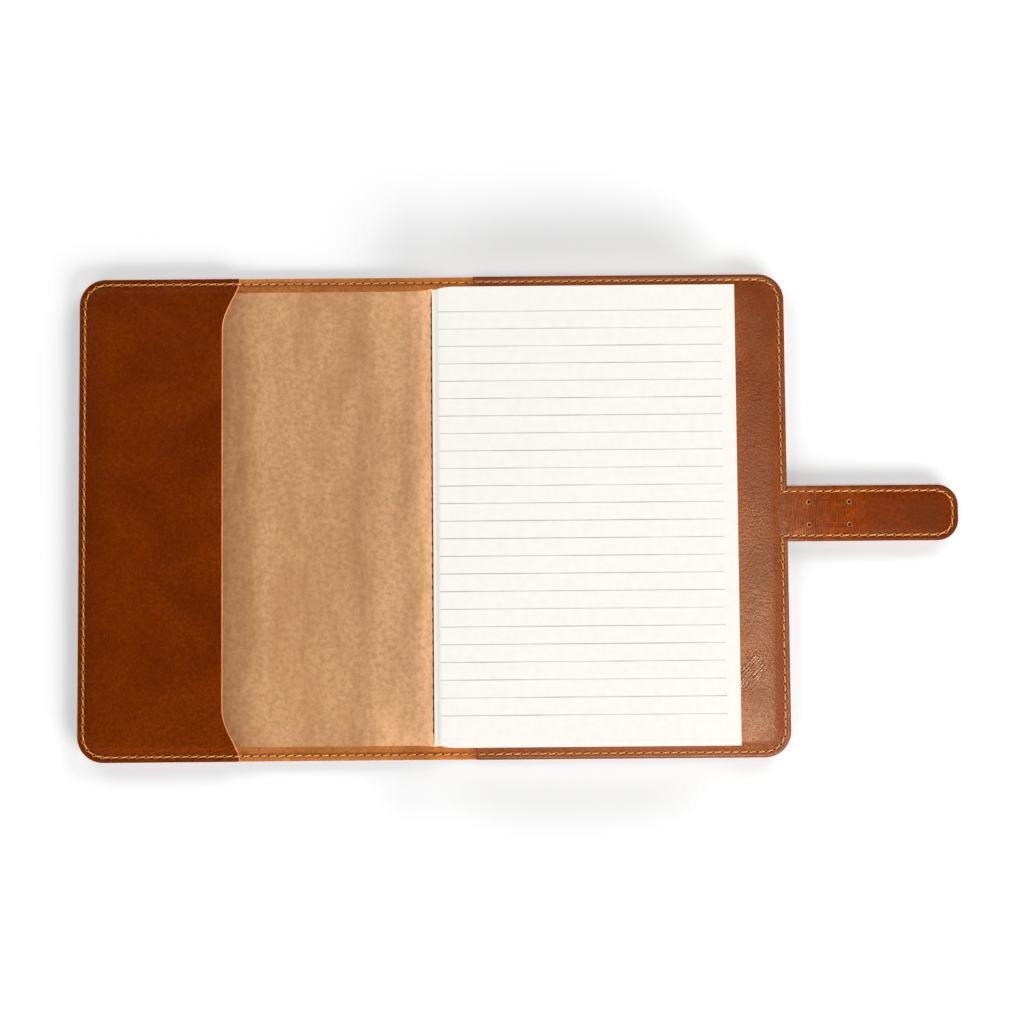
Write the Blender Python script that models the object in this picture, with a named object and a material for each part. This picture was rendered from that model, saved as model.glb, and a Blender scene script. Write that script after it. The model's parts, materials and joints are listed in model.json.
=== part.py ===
"""Leather notebook cover with a wrap strap, lying open on the booklet that it holds.

Lengths are in metres. X runs across the open cover, from the front cover to the strap. Y runs from
tail to head, and Z is up. The origin is the middle of the spine, on the surface the cover lies on.
"""

import math

import bmesh
import bpy
from mathutils import Matrix, Vector

# The cover, cut from one hide and folded along the two edges of its spine.
COVER_HALF_WIDTH = 0.1634
COVER_HALF_HEIGHT = 0.1115
CORNER_RADIUS = 0.012
SPINE_WIDTH = 0.014
LEATHER = 0.0016

# The pocket pieces sewn inside it. A rim is the sewn edge, and the lid inside it stands higher.
LINING = 0.0011
LID = 0.0012
LAYER_GAP = 0.0002
RIM_WIDTH = 0.005
POCKET_INSET = 0.0062
FRONT_POCKET_HEIGHT = 0.0015
BACK_POCKET_HEIGHT = 0.0010
BACK_PANEL_EDGE = 0.0194
FLAP_EDGE = 0.0976
FLAP_EDGE_AT_HEAD = 0.0890
FLAP_CURVE_START = 0.086

# The strap, two layers thick, which folds round the fore edge and onto the front cover.
STRAP_HALF_WIDTH = 0.0128
STRAP_END = 0.2421
STRAP_TIP_RADIUS = 0.0095
STRAP_ROOT_FOLD = 0.1644
STRAP_BRIDGE = 0.0153
PEN_SLIT_FROM_EDGE = 0.0099
PEN_SLIT_LENGTH = 0.0186
PEN_SLIT_HALF_SPACING = 0.00525
PEN_SLIT_HALF_WIDTH = 0.0003
PEN_HOLE_RADIUS = 0.00075

# The lock stitch: a needle thread on the inside and a bobbin thread sunk into the outside.
STITCH_INSET = 0.0026
NEEDLE_THREAD_RADIUS = 0.0003
BOBBIN_THREAD_RADIUS = 0.00028
BOBBIN_THREAD_HEIGHT = 0.00033
GROOVE_RADIUS = 0.0005
GROOVE_HEIGHT = 0.00025
THREAD_GAP = 0.0001
THREAD_STOP = 0.0009

# The booklet: ruled leaves sewn into a kraft wrapper, whose two leaves go into the pockets.
PAGE_HALF_HEIGHT = 0.105
PAGE_EDGE = 0.1393
WRAPPER_EDGE = 0.140
BLOCK_BOTTOM = 0.0044
BLOCK_TOP = 0.0119
BLOCK_TAPER = 0.0055
FOLD_CLEARANCE = 0.0006
BLOCK_FOLD_HALF_HEIGHT = 0.0004
FIRST_LEAF = 0.0002
FIRST_LEAF_HEIGHT = 0.01225
WRAPPER = 0.0004
WRAPPER_FOLD_DROP = 0.0013
WRAPPER_SHOULDER = (0.0052, 0.00375)
WRAPPER_FOOT = 0.0115
FRONT_WRAPPER_HEIGHT = 0.0026
BACK_WRAPPER_HEIGHT = 0.0021
BINDING_THREAD_RADIUS = 0.00025

# The magnets that hold the strap down, one in the strap's tongue and one in the front cover.
MAGNET_RADIUS = 0.006
MAGNET_RECESS_RADIUS = 0.0063
STRAP_MAGNET_X = 0.2271
STRAP_MAGNET_Z = (0.00115, 0.00225)
STRAP_RECESS_Z = (0.0010, 0.0024)
COVER_MAGNET_X = -0.1165
COVER_MAGNET_Z = (0.0005, 0.0011)
COVER_RECESS_FLOOR = 0.0003
KEEPER_RADIUS = 0.0061
KEEPER_Z = (0.0012, 0.00155)

# Half of the gap left between two pieces that meet at a fold.
FOLD_GAP = 0.00015
ARC_STEPS = 8
CURVE_STEPS = 10
PAST = 0.004

HALF_SPINE = SPINE_WIDTH / 2
RIM_BOTTOM = LEATHER + LAYER_GAP
RIM_TOP = RIM_BOTTOM + LINING
FRONT_LID_BOTTOM = LEATHER + FRONT_POCKET_HEIGHT
BACK_LID_BOTTOM = LEATHER + BACK_POCKET_HEIGHT
BOOKLET_FOLD_Z = LEATHER + HALF_SPINE
STRAP_TONGUE_FOLD = STRAP_ROOT_FOLD + STRAP_BRIDGE

COVER_COLOUR = (0.150, 0.027, 0.005, 1.0)
LINING_COLOUR = (0.210, 0.055, 0.016, 1.0)
STRAP_COLOUR = (0.220, 0.045, 0.006, 1.0)
THREAD_COLOUR = (0.600, 0.300, 0.070, 1.0)
KRAFT_COLOUR = (0.560, 0.330, 0.150, 1.0)
PAPER_COLOUR = (0.900, 0.860, 0.760, 1.0)
BINDING_COLOUR = (0.020, 0.014, 0.010, 1.0)
MAGNET_COLOUR = (0.550, 0.550, 0.560, 1.0)


def clear_scene():
    """Remove whatever the scene starts with."""
    for obj in list(bpy.data.objects):
        bpy.data.objects.remove(obj)


def make_collection(name):
    """Add a collection to the scene."""
    collection = bpy.data.collections.new(name)
    bpy.context.scene.collection.children.link(collection)
    return collection


def make_material(name, colour, roughness, metallic=0.0):
    """Make a Principled material of one colour."""
    material = bpy.data.materials.new(name)
    material.use_nodes = True
    shader = material.node_tree.nodes["Principled BSDF"]
    shader.inputs["Base Color"].default_value = colour
    shader.inputs["Roughness"].default_value = roughness
    shader.inputs["Metallic"].default_value = metallic
    return material


def arc(centre_x, centre_y, radius, start, end, steps=ARC_STEPS):
    """Points along an arc, with its angles in degrees."""
    points = []
    for step in range(steps + 1):
        angle = math.radians(start + (end - start) * step / steps)
        points.append((centre_x + radius * math.cos(angle), centre_y + radius * math.sin(angle)))
    return points


def with_mirror(upper):
    """Close an outline that is the same above and below y = 0, from its upper half."""
    return upper + [(x, -y) for x, y in reversed(upper)]


def rectangle(low_x, high_x, half_height):
    """The outline of a rectangle that is centred on y = 0."""
    return with_mirror([(low_x, half_height), (high_x, half_height)])


def corner(side, inset=0.0):
    """The head corner of the front (side -1) or back (side 1) cover, from the head to the fore edge."""
    centre_x = side * (COVER_HALF_WIDTH - CORNER_RADIUS)
    centre_y = COVER_HALF_HEIGHT - CORNER_RADIUS
    return arc(centre_x, centre_y, CORNER_RADIUS - inset, 90, 90 - 90 * side)


def flap_curve():
    """The flap's free edge above the middle, which sweeps wider towards the head."""
    points = []
    for step in range(CURVE_STEPS + 1):
        share = step / CURVE_STEPS
        sweep = share * share * (3 - 2 * share)
        x = -FLAP_EDGE + (FLAP_EDGE - FLAP_EDGE_AT_HEAD) * sweep
        y = FLAP_CURVE_START + (COVER_HALF_HEIGHT - FLAP_CURVE_START) * share
        points.append((x, y))
    return points


def back_outline(first_x):
    """The back cover from first_x to the fold at the strap's root."""
    root = [
        (COVER_HALF_WIDTH, STRAP_HALF_WIDTH),
        (STRAP_ROOT_FOLD - FOLD_GAP, STRAP_HALF_WIDTH),
    ]
    return with_mirror([(first_x, COVER_HALF_HEIGHT)] + corner(1) + root)


def front_outline():
    """The front cover from its fold to its fore edge."""
    return with_mirror([(-HALF_SPINE - FOLD_GAP, COVER_HALF_HEIGHT)] + corner(-1))


def flap_outline():
    """The flap from its swept free edge to the fore edge."""
    return with_mirror(flap_curve() + corner(-1))


def tongue_outline(inset=0.0):
    """The strap from its second fold to its rounded tip."""
    centre_x = STRAP_END - STRAP_TIP_RADIUS
    centre_y = STRAP_HALF_WIDTH - STRAP_TIP_RADIUS
    start = [(STRAP_TONGUE_FOLD + FOLD_GAP, STRAP_HALF_WIDTH - inset)]
    return with_mirror(start + arc(centre_x, centre_y, STRAP_TIP_RADIUS - inset, 90, 0))


def pocket_outline(side, mouth_x):
    """The room inside a pocket, open past its mouth."""
    start = [(mouth_x - side * PAST, COVER_HALF_HEIGHT - POCKET_INSET)]
    return with_mirror(start + corner(side, POCKET_INSET))


def rim_outline(side, mouth_x):
    """A frame over a pocket's sewn edges, open on the side of its mouth."""
    start_x = mouth_x - side * PAST
    outside_x = side * (COVER_HALF_WIDTH + PAST)
    outside_y = COVER_HALF_HEIGHT + PAST
    inside = [(start_x, COVER_HALF_HEIGHT - RIM_WIDTH)] + corner(side, RIM_WIDTH)
    outside = [(outside_x, outside_y), (start_x, outside_y)]
    return outside + inside + [(x, -y) for x, y in reversed(outside + inside)]


def slit_outline(side):
    """A slit of the pen loop, with a round hole at each end."""
    centre_y = side * PEN_SLIT_HALF_SPACING
    first_x = COVER_HALF_WIDTH + PEN_SLIT_FROM_EDGE
    last_x = first_x + PEN_SLIT_LENGTH
    mouth = math.degrees(math.asin(PEN_SLIT_HALF_WIDTH / PEN_HOLE_RADIUS))
    first = arc(first_x, centre_y, PEN_HOLE_RADIUS, mouth, 360 - mouth, 14)
    last = arc(last_x, centre_y, PEN_HOLE_RADIUS, 180 + mouth, 540 - mouth, 14)
    return first + last


def section_band(line, thickness):
    """The section of a bent sheet: its middle line, thickened by half on each side."""
    left = []
    right = []
    for index, point in enumerate(line):
        here = Vector(point)
        before = (here - Vector(line[index - 1])).normalized() if index else None
        after = (Vector(line[index + 1]) - here).normalized() if index < len(line) - 1 else None
        directions = [d for d in (before, after) if d is not None]
        normals = [Vector((-d.y, d.x)) for d in directions]
        middle = sum(normals, Vector((0, 0))).normalized()
        reach = thickness / 2 / middle.dot(normals[0])
        left.append(tuple(here + middle * reach))
        right.append(tuple(here - middle * reach))
    return left + right[::-1]


def curve_mesh(name, splines, extrude=0.0, bevel=0.0, cyclic=True):
    """Turn flat outlines, or the path of a tube, into a closed mesh."""
    curve = bpy.data.curves.new(name, "CURVE")
    curve.dimensions = "3D" if bevel else "2D"
    curve.extrude = extrude
    curve.bevel_depth = bevel
    curve.bevel_resolution = 2
    curve.use_fill_caps = bool(bevel)
    if not bevel:
        curve.fill_mode = "BOTH"
    for points in splines:
        spline = curve.splines.new("POLY")
        spline.points.add(len(points) - 1)
        spline.use_cyclic_u = cyclic
        for target, point in zip(spline.points, points):
            target.co = (*point, *([0.0] * (3 - len(point))), 1.0)
    source = bpy.data.objects.new(name, curve)
    bpy.context.scene.collection.objects.link(source)
    bpy.context.view_layer.update()
    graph = bpy.context.evaluated_depsgraph_get()
    mesh = bpy.data.meshes.new_from_object(source.evaluated_get(graph))
    bpy.data.objects.remove(source)
    bpy.data.curves.remove(curve)
    cleaned = bmesh.new()
    cleaned.from_mesh(mesh)
    bmesh.ops.remove_doubles(cleaned, verts=cleaned.verts, dist=1e-6)
    bmesh.ops.recalc_face_normals(cleaned, faces=cleaned.faces)
    cleaned.to_mesh(mesh)
    cleaned.free()
    mesh.name = name
    return mesh


def plate_mesh(name, outline, low, high):
    """A flat piece of the given outline, between two heights."""
    mesh = curve_mesh(name, [outline], extrude=(high - low) / 2)
    mesh.transform(Matrix.Translation((0, 0, (low + high) / 2)))
    return mesh


def sheet_mesh(name, section, half_height):
    """A piece with one section in X and Z all along its height in Y."""
    mesh = curve_mesh(name, [section], extrude=half_height)
    mesh.transform(Matrix.Rotation(math.radians(90), 4, "X"))
    return mesh


def disc_mesh(name, centre_x, radius, low, high):
    """A disc that is centred on y = 0, between two heights."""
    mesh = bpy.data.meshes.new(name)
    shape = bmesh.new()
    middle = Matrix.Translation((centre_x, 0, (low + high) / 2))
    bmesh.ops.create_cone(
        shape,
        cap_ends=True,
        segments=40,
        radius1=radius,
        radius2=radius,
        depth=high - low,
        matrix=middle,
    )
    shape.to_mesh(mesh)
    shape.free()
    return mesh


class Assembly:
    """The collections, bodies and materials that every piece is put into."""

    def __init__(self):
        self.parts = make_collection("leather_notebook_cover")
        self.cutters = make_collection("cutters")
        self.cutters.hide_render = True
        self.materials = {
            "cover_leather": make_material("cover_leather", COVER_COLOUR, 0.42),
            "pocket_leather": make_material("pocket_leather", LINING_COLOUR, 0.48),
            "strap_leather": make_material("strap_leather", STRAP_COLOUR, 0.40),
            "waxed_thread": make_material("waxed_thread", THREAD_COLOUR, 0.55),
            "kraft_card": make_material("kraft_card", KRAFT_COLOUR, 0.85),
            "ruled_paper": make_material("ruled_paper", PAPER_COLOUR, 0.80),
            "binding_thread": make_material("binding_thread", BINDING_COLOUR, 0.70),
            "magnet_nickel": make_material("magnet_nickel", MAGNET_COLOUR, 0.30, 1.0),
        }
        self.bodies = {}

    def body(self, name, location, parent=None):
        """Add the empty that a body's pieces hang on, on the axis of its joint."""
        empty = bpy.data.objects.new(name, None)
        empty.empty_display_size = 0.01
        self.parts.objects.link(empty)
        if parent:
            empty.parent = self.bodies[parent]
            location = Vector(location) - self.bodies[parent].matrix_world.translation
        empty.location = location
        bpy.context.view_layer.update()
        self.bodies[name] = empty

    def piece(self, mesh, body, material, smooth=False):
        """Add one piece of the object to a body."""
        obj = bpy.data.objects.new(mesh.name, mesh)
        mesh.materials.clear()
        mesh.materials.append(self.materials[material])
        if smooth:
            mesh.shade_smooth()
            mesh.set_sharp_from_angle(angle=math.radians(40))
        else:
            mesh.shade_flat()
        obj.parent = self.bodies[body]
        obj.matrix_parent_inverse = self.bodies[body].matrix_world.inverted()
        self.parts.objects.link(obj)
        return obj

    def cutter(self, mesh):
        """Add a shape that only cuts others."""
        obj = bpy.data.objects.new(mesh.name, mesh)
        obj.hide_render = True
        obj.display_type = "WIRE"
        self.cutters.objects.link(obj)
        return obj

    def cut(self, obj, *cutters):
        """Cut each cutter's shape out of a piece."""
        for cutter in cutters:
            modifier = obj.modifiers.new(cutter.name, "BOOLEAN")
            modifier.operation = "DIFFERENCE"
            modifier.solver = "EXACT"
            modifier.object = cutter


def needle_height(face):
    """The middle height of a thread that lies on a face."""
    return face + THREAD_GAP + NEEDLE_THREAD_RADIUS


def seam_route(side, first_x, step_x, end):
    """A cover's seam at the head, from beside its fold, up onto the rim at step_x, round the corner.

    The last points are given as (x, y) and lie on the rim.
    """
    seam_y = COVER_HALF_HEIGHT - STITCH_INSET
    low = needle_height(LEATHER)
    high = needle_height(RIM_TOP)
    rise = side * 0.0011
    clear = side * 0.0004
    route = [
        (first_x, seam_y, low),
        (step_x - clear - rise, seam_y, low),
        (step_x - clear, seam_y, high),
    ]
    return route + [(x, y, high) for x, y in corner(side, STITCH_INSET) + end]


def tail_side(route):
    """The same route at the tail."""
    return [(x, -y, z) for x, y, z in route]


def sunk(route):
    """A needle thread's route, followed by the bobbin thread on the outside."""
    return [(x, y, BOBBIN_THREAD_HEIGHT) for x, y, z in route]


def groove_route(route, first_x, last=None):
    """A bobbin thread's groove, which runs out past the ends of its thread."""
    flat = [(x, y, GROOVE_HEIGHT) for x, y, z in route]
    flat[0] = (first_x, flat[0][1], GROOVE_HEIGHT)
    if last:
        flat[-1] = (last[0], last[1], GROOVE_HEIGHT)
    return flat


def add_thread(assembly, name, route, radius, body):
    """Add a sewing thread as one tube."""
    mesh = curve_mesh(name, [route], bevel=radius, cyclic=False)
    return assembly.piece(mesh, body, "waxed_thread", smooth=True)


def add_seam(assembly, name, route, body):
    """Add the two threads of one seam."""
    add_thread(assembly, f"{name}_needle_thread", route, NEEDLE_THREAD_RADIUS, body)
    add_thread(assembly, f"{name}_bobbin_thread", sunk(route), BOBBIN_THREAD_RADIUS, body)


def groove_cutter(assembly, name, route):
    """Add the cutter of a bobbin thread's groove."""
    return assembly.cutter(curve_mesh(name, [route], bevel=GROOVE_RADIUS, cyclic=False))


def build_back_cover(assembly):
    """The back cover: its outer leather, the pocket panel and the seams round both."""
    outer = plate_mesh("back_outer_leather", back_outline(HALF_SPINE + FOLD_GAP), 0, LEATHER)
    outer = assembly.piece(outer, "back_cover", "cover_leather")
    lid_top = BACK_LID_BOTTOM + LID
    panel = plate_mesh("back_pocket_panel", back_outline(BACK_PANEL_EDGE), RIM_BOTTOM, lid_top)
    panel = assembly.piece(panel, "back_cover", "pocket_leather")
    room = pocket_outline(1, BACK_PANEL_EDGE)
    room = assembly.cutter(plate_mesh("back_pocket_room", room, LEATHER, BACK_LID_BOTTOM))
    rim = rim_outline(1, BACK_PANEL_EDGE)
    rim = assembly.cutter(plate_mesh("back_rim_cutter", rim, RIM_TOP, lid_top + PAST))
    assembly.cut(panel, room, rim)

    seam_x = COVER_HALF_WIDTH - STITCH_INSET
    seam_y = STRAP_HALF_WIDTH - STITCH_INSET
    root = [(seam_x, seam_y), (STRAP_ROOT_FOLD - THREAD_STOP, seam_y)]
    head = seam_route(1, HALF_SPINE + THREAD_STOP, BACK_PANEL_EDGE, root)
    for end, route in (("head", head), ("tail", tail_side(head))):
        add_seam(assembly, f"back_{end}", route, "back_cover")
        past = (STRAP_ROOT_FOLD + PAST, route[-1][1])
        groove = groove_route(route, HALF_SPINE - PAST, past)
        assembly.cut(outer, groove_cutter(assembly, f"back_{end}_groove", groove))


def build_spine(assembly):
    """The spine: one layer of leather with a seam across its head and its tail."""
    half = HALF_SPINE - FOLD_GAP
    outer = rectangle(-half, half, COVER_HALF_HEIGHT)
    outer = assembly.piece(plate_mesh("spine_leather", outer, 0, LEATHER), "spine", "cover_leather")
    seam_y = COVER_HALF_HEIGHT - STITCH_INSET
    reach = HALF_SPINE - THREAD_STOP
    height = needle_height(LEATHER)
    head = [(-reach, seam_y, height), (reach, seam_y, height)]
    for end, route in (("head", head), ("tail", tail_side(head))):
        add_seam(assembly, f"spine_{end}", route, "spine")
        past = (HALF_SPINE + PAST, route[-1][1])
        groove = groove_route(route, -HALF_SPINE - PAST, past)
        assembly.cut(outer, groove_cutter(assembly, f"spine_{end}_groove", groove))


def build_front_cover(assembly):
    """The front cover: its outer leather, the flap pocket, their seam and the cover's magnet."""
    outer = plate_mesh("front_outer_leather", front_outline(), 0, LEATHER)
    outer = assembly.piece(outer, "front_cover", "cover_leather")
    lid_top = FRONT_LID_BOTTOM + LID
    flap = plate_mesh("front_pocket_flap", flap_outline(), RIM_BOTTOM, lid_top)
    flap = assembly.piece(flap, "front_cover", "pocket_leather")
    room = pocket_outline(-1, -FLAP_EDGE_AT_HEAD)
    room = assembly.cutter(plate_mesh("front_pocket_room", room, LEATHER, FRONT_LID_BOTTOM))
    rim = rim_outline(-1, -FLAP_EDGE_AT_HEAD)
    rim = assembly.cutter(plate_mesh("front_rim_cutter", rim, RIM_TOP, lid_top + PAST))
    assembly.cut(flap, room, rim)

    head = seam_route(-1, -HALF_SPINE - THREAD_STOP, -FLAP_EDGE_AT_HEAD, [])
    route = head + tail_side(head)[::-1]
    add_seam(assembly, "front", route, "front_cover")
    past = (PAST - HALF_SPINE, route[-1][1])
    groove = groove_route(route, PAST - HALF_SPINE, past)
    recess = disc_mesh(
        "cover_magnet_recess", COVER_MAGNET_X, MAGNET_RECESS_RADIUS, COVER_RECESS_FLOOR, RIM_BOTTOM
    )
    assembly.cut(outer, groove_cutter(assembly, "front_groove", groove), assembly.cutter(recess))
    magnet = disc_mesh("cover_magnet", COVER_MAGNET_X, MAGNET_RADIUS, *COVER_MAGNET_Z)
    assembly.piece(magnet, "front_cover", "magnet_nickel", smooth=True)
    keeper = disc_mesh("magnet_keeper_patch", COVER_MAGNET_X, KEEPER_RADIUS, *KEEPER_Z)
    assembly.piece(keeper, "front_cover", "pocket_leather", smooth=True)


def build_strap(assembly):
    """The strap: the bridge over the fore edge, and the tongue that lies on the front cover."""
    slits = []
    for side, end in ((1, "head"), (-1, "tail")):
        mesh = plate_mesh(f"pen_slit_{end}", slit_outline(side), -PAST, RIM_TOP + PAST)
        slits.append(assembly.cutter(mesh))
    seam_y = STRAP_HALF_WIDTH - STITCH_INSET
    height = needle_height(RIM_TOP)
    bridge = rectangle(
        STRAP_ROOT_FOLD + FOLD_GAP, STRAP_TONGUE_FOLD - FOLD_GAP, STRAP_HALF_WIDTH
    )
    tongue = tongue_outline()
    recess = disc_mesh(
        "strap_magnet_recess", STRAP_MAGNET_X, MAGNET_RECESS_RADIUS, *STRAP_RECESS_Z
    )
    recess = assembly.cutter(recess)
    edge = [
        (STRAP_TONGUE_FOLD + THREAD_STOP, seam_y, height),
        *[(x, y, height) for x, y in tongue_outline(STITCH_INSET)[1:-1]],
        (STRAP_TONGUE_FOLD + THREAD_STOP, -seam_y, height),
    ]
    head = [
        (STRAP_ROOT_FOLD + THREAD_STOP, seam_y, height),
        (STRAP_TONGUE_FOLD - THREAD_STOP, seam_y, height),
    ]
    bridge_grooves = []
    for end, route in (("head", head), ("tail", tail_side(head))):
        add_seam(assembly, f"strap_bridge_{end}", route, "strap_bridge")
        past = (STRAP_TONGUE_FOLD + PAST, route[-1][1])
        groove = groove_route(route, STRAP_ROOT_FOLD - PAST, past)
        bridge_grooves.append(groove_cutter(assembly, f"strap_bridge_{end}_groove", groove))
    add_seam(assembly, "strap_tongue", edge, "strap_tongue")
    past = (STRAP_TONGUE_FOLD - PAST, edge[-1][1])
    groove = groove_route(edge, STRAP_TONGUE_FOLD - PAST, past)
    tongue_groove = groove_cutter(assembly, "strap_tongue_groove", groove)

    layers = (("outer", 0, LEATHER), ("lining", RIM_BOTTOM, RIM_TOP))
    for layer, low, high in layers:
        for body, outline in (("strap_bridge", bridge), ("strap_tongue", tongue)):
            obj = plate_mesh(f"{body}_{layer}", outline, low, high)
            obj = assembly.piece(obj, body, "strap_leather")
            assembly.cut(obj, *slits)
            if body == "strap_tongue":
                assembly.cut(obj, recess)
            if layer == "outer":
                grooves = bridge_grooves if body == "strap_bridge" else [tongue_groove]
                assembly.cut(obj, *grooves)
    magnet = disc_mesh("strap_magnet", STRAP_MAGNET_X, MAGNET_RADIUS, *STRAP_MAGNET_Z)
    assembly.piece(magnet, "strap_tongue", "magnet_nickel", smooth=True)


def wrapper_section(side, height):
    """The section of a wrapper leaf, from the fold down its shoulder and out into its pocket."""
    shoulder_x, shoulder_z = WRAPPER_SHOULDER
    line = [
        (side * FOLD_CLEARANCE, BOOKLET_FOLD_Z - WRAPPER_FOLD_DROP),
        (side * shoulder_x, shoulder_z),
        (side * WRAPPER_FOOT, height),
        (side * WRAPPER_EDGE, height),
    ]
    return section_band(line, WRAPPER)


def build_booklet(assembly):
    """The booklet: its ruled leaves, its first leaf, the kraft wrapper and the binding thread."""
    section = [
        (FOLD_CLEARANCE, BOOKLET_FOLD_Z - BLOCK_FOLD_HALF_HEIGHT),
        (BLOCK_TAPER, BLOCK_BOTTOM),
        (PAGE_EDGE, BLOCK_BOTTOM),
        (PAGE_EDGE, BLOCK_TOP),
        (BLOCK_TAPER, BLOCK_TOP),
        (FOLD_CLEARANCE, BOOKLET_FOLD_Z + BLOCK_FOLD_HALF_HEIGHT),
    ]
    block = sheet_mesh("ruled_leaves", section, PAGE_HALF_HEIGHT)
    assembly.piece(block, "booklet", "ruled_paper")
    line = [
        (FOLD_CLEARANCE, BOOKLET_FOLD_Z + 2 * BLOCK_FOLD_HALF_HEIGHT),
        (BLOCK_TAPER, FIRST_LEAF_HEIGHT),
        (PAGE_EDGE, FIRST_LEAF_HEIGHT),
    ]
    leaf = sheet_mesh("first_ruled_leaf", section_band(line, FIRST_LEAF), PAGE_HALF_HEIGHT)
    assembly.piece(leaf, "booklet", "ruled_paper")
    back = wrapper_section(1, BACK_WRAPPER_HEIGHT)
    back = sheet_mesh("kraft_back_leaf", back, PAGE_HALF_HEIGHT)
    assembly.piece(back, "booklet", "kraft_card")
    front = wrapper_section(-1, FRONT_WRAPPER_HEIGHT)
    front = sheet_mesh("kraft_front_leaf", front, PAGE_HALF_HEIGHT)
    assembly.piece(front, "front_leaf", "kraft_card")
    ends = [(0, y, BOOKLET_FOLD_Z) for y in (-PAGE_HALF_HEIGHT, PAGE_HALF_HEIGHT)]
    thread = curve_mesh("binding_thread", [ends], bevel=BINDING_THREAD_RADIUS, cyclic=False)
    assembly.piece(thread, "booklet", "binding_thread", smooth=True)


def main():
    """Build the whole cover, open and flat."""
    clear_scene()
    assembly = Assembly()
    assembly.body("back_cover", (0, 0, 0))
    assembly.body("spine", (HALF_SPINE, 0, LEATHER), "back_cover")
    assembly.body("front_cover", (-HALF_SPINE, 0, LEATHER), "spine")
    assembly.body("booklet", (0, 0, BOOKLET_FOLD_Z), "back_cover")
    assembly.body("front_leaf", (0, 0, BOOKLET_FOLD_Z), "booklet")
    assembly.body("strap_bridge", (STRAP_ROOT_FOLD, 0, RIM_TOP), "back_cover")
    assembly.body("strap_tongue", (STRAP_TONGUE_FOLD, 0, RIM_TOP), "strap_bridge")
    build_back_cover(assembly)
    build_spine(assembly)
    build_front_cover(assembly)
    build_strap(assembly)
    build_booklet(assembly)


main()
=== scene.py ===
"""The looks of a stitched leather notebook cover, lying open on the booklet it holds.

Lengths are in metres. X runs across the open cover towards the strap, Y runs from tail to head, and
Z is up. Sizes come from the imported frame, and each leather and paper piece is shaped over it.
"""

import json
import logging
import math
import random
from dataclasses import dataclass, field
from enum import Enum
from typing import Callable, Iterable, Optional

import bpy
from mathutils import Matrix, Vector


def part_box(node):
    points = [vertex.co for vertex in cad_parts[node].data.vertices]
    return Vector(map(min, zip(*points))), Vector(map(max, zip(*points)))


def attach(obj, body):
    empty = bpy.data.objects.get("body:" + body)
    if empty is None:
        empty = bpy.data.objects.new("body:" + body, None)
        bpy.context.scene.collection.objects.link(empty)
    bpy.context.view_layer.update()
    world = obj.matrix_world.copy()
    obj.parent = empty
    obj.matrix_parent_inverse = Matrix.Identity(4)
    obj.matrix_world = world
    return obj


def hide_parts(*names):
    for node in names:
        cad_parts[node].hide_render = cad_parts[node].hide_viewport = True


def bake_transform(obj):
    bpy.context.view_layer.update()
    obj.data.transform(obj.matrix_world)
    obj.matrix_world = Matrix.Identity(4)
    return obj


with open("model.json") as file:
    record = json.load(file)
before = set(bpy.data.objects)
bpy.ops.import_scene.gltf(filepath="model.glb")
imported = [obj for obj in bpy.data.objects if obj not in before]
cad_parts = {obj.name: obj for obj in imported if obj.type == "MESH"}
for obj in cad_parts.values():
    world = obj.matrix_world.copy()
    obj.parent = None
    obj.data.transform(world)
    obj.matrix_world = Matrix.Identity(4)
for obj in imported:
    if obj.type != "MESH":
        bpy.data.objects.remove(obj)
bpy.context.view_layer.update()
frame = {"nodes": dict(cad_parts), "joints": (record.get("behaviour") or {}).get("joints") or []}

LOG = logging.getLogger("notebook_cover")

MM = 0.001
# A pocket's lid sits this far under its CAD height, so that its swells stay inside.
LID_DROP = 0.28 * MM
LID_THICKNESS = 1.05 * MM
# Two places this close are the same place.
NEAR = 0.05 * MM
CORNER_STEPS = 12
# The pitch of a band pattern, in metres, at a scale of 1.
BAND_PITCH = 0.314

Piece = bpy.types.Object
Socket = bpy.types.NodeSocket
Point = tuple[float, float]
Colour = tuple[float, float, float]
Height = Callable[[float, float], float]


# ---------------------------------------------------------------- small tools


def srgb(red: int, green: int, blue: int) -> Colour:
    """Turn a colour named in display values into linear light.

    Args:
        red: The red value, from 0 to 255.
        green: The green value, from 0 to 255.
        blue: The blue value, from 0 to 255.

    Returns:
        The same colour as linear values from 0 to 1.
    """
    linear = []
    for value in (red, green, blue):
        share = value / 255
        linear.append(share / 12.92 if share <= 0.04045 else ((share + 0.055) / 1.055) ** 2.4)
    return (linear[0], linear[1], linear[2])


def smooth(value: float, low: float, high: float) -> float:
    """Rise smoothly from 0 at low to 1 at high, and hold at both ends."""
    share = min(1.0, max(0.0, (value - low) / (high - low)))
    return share * share * (3 - 2 * share)


def bell(value: float, middle: float, width: float) -> float:
    """A soft bump that is 1 at the middle and falls to 0 past its width."""
    return math.exp(-(((value - middle) / width) ** 2))


def spaced(*runs: tuple[float, float, int]) -> list[float]:
    """Join evenly spaced runs of places.

    Args:
        *runs: Each run's first place, last place and number of steps.

    Returns:
        The places in order, each once.
    """
    places = [runs[0][0]]
    for first, last, steps in runs:
        places += [first + (last - first) * (step + 1) / steps for step in range(steps)]
    return places


def deselect() -> None:
    """Leave nothing selected."""
    bpy.ops.object.select_all(action="DESELECT")


def pick(obj: Piece) -> None:
    """Make one object the only selected and active one.

    Args:
        obj: The object.
    """
    deselect()
    obj.select_set(True)
    bpy.context.view_layer.objects.active = obj


def settle(obj: Piece) -> Piece:
    """Put an object's place, turn and scale into its mesh.

    Args:
        obj: The object.

    Returns:
        The same object.
    """
    pick(obj)
    bpy.ops.object.transform_apply(location=True, rotation=True, scale=True)
    return obj


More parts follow.
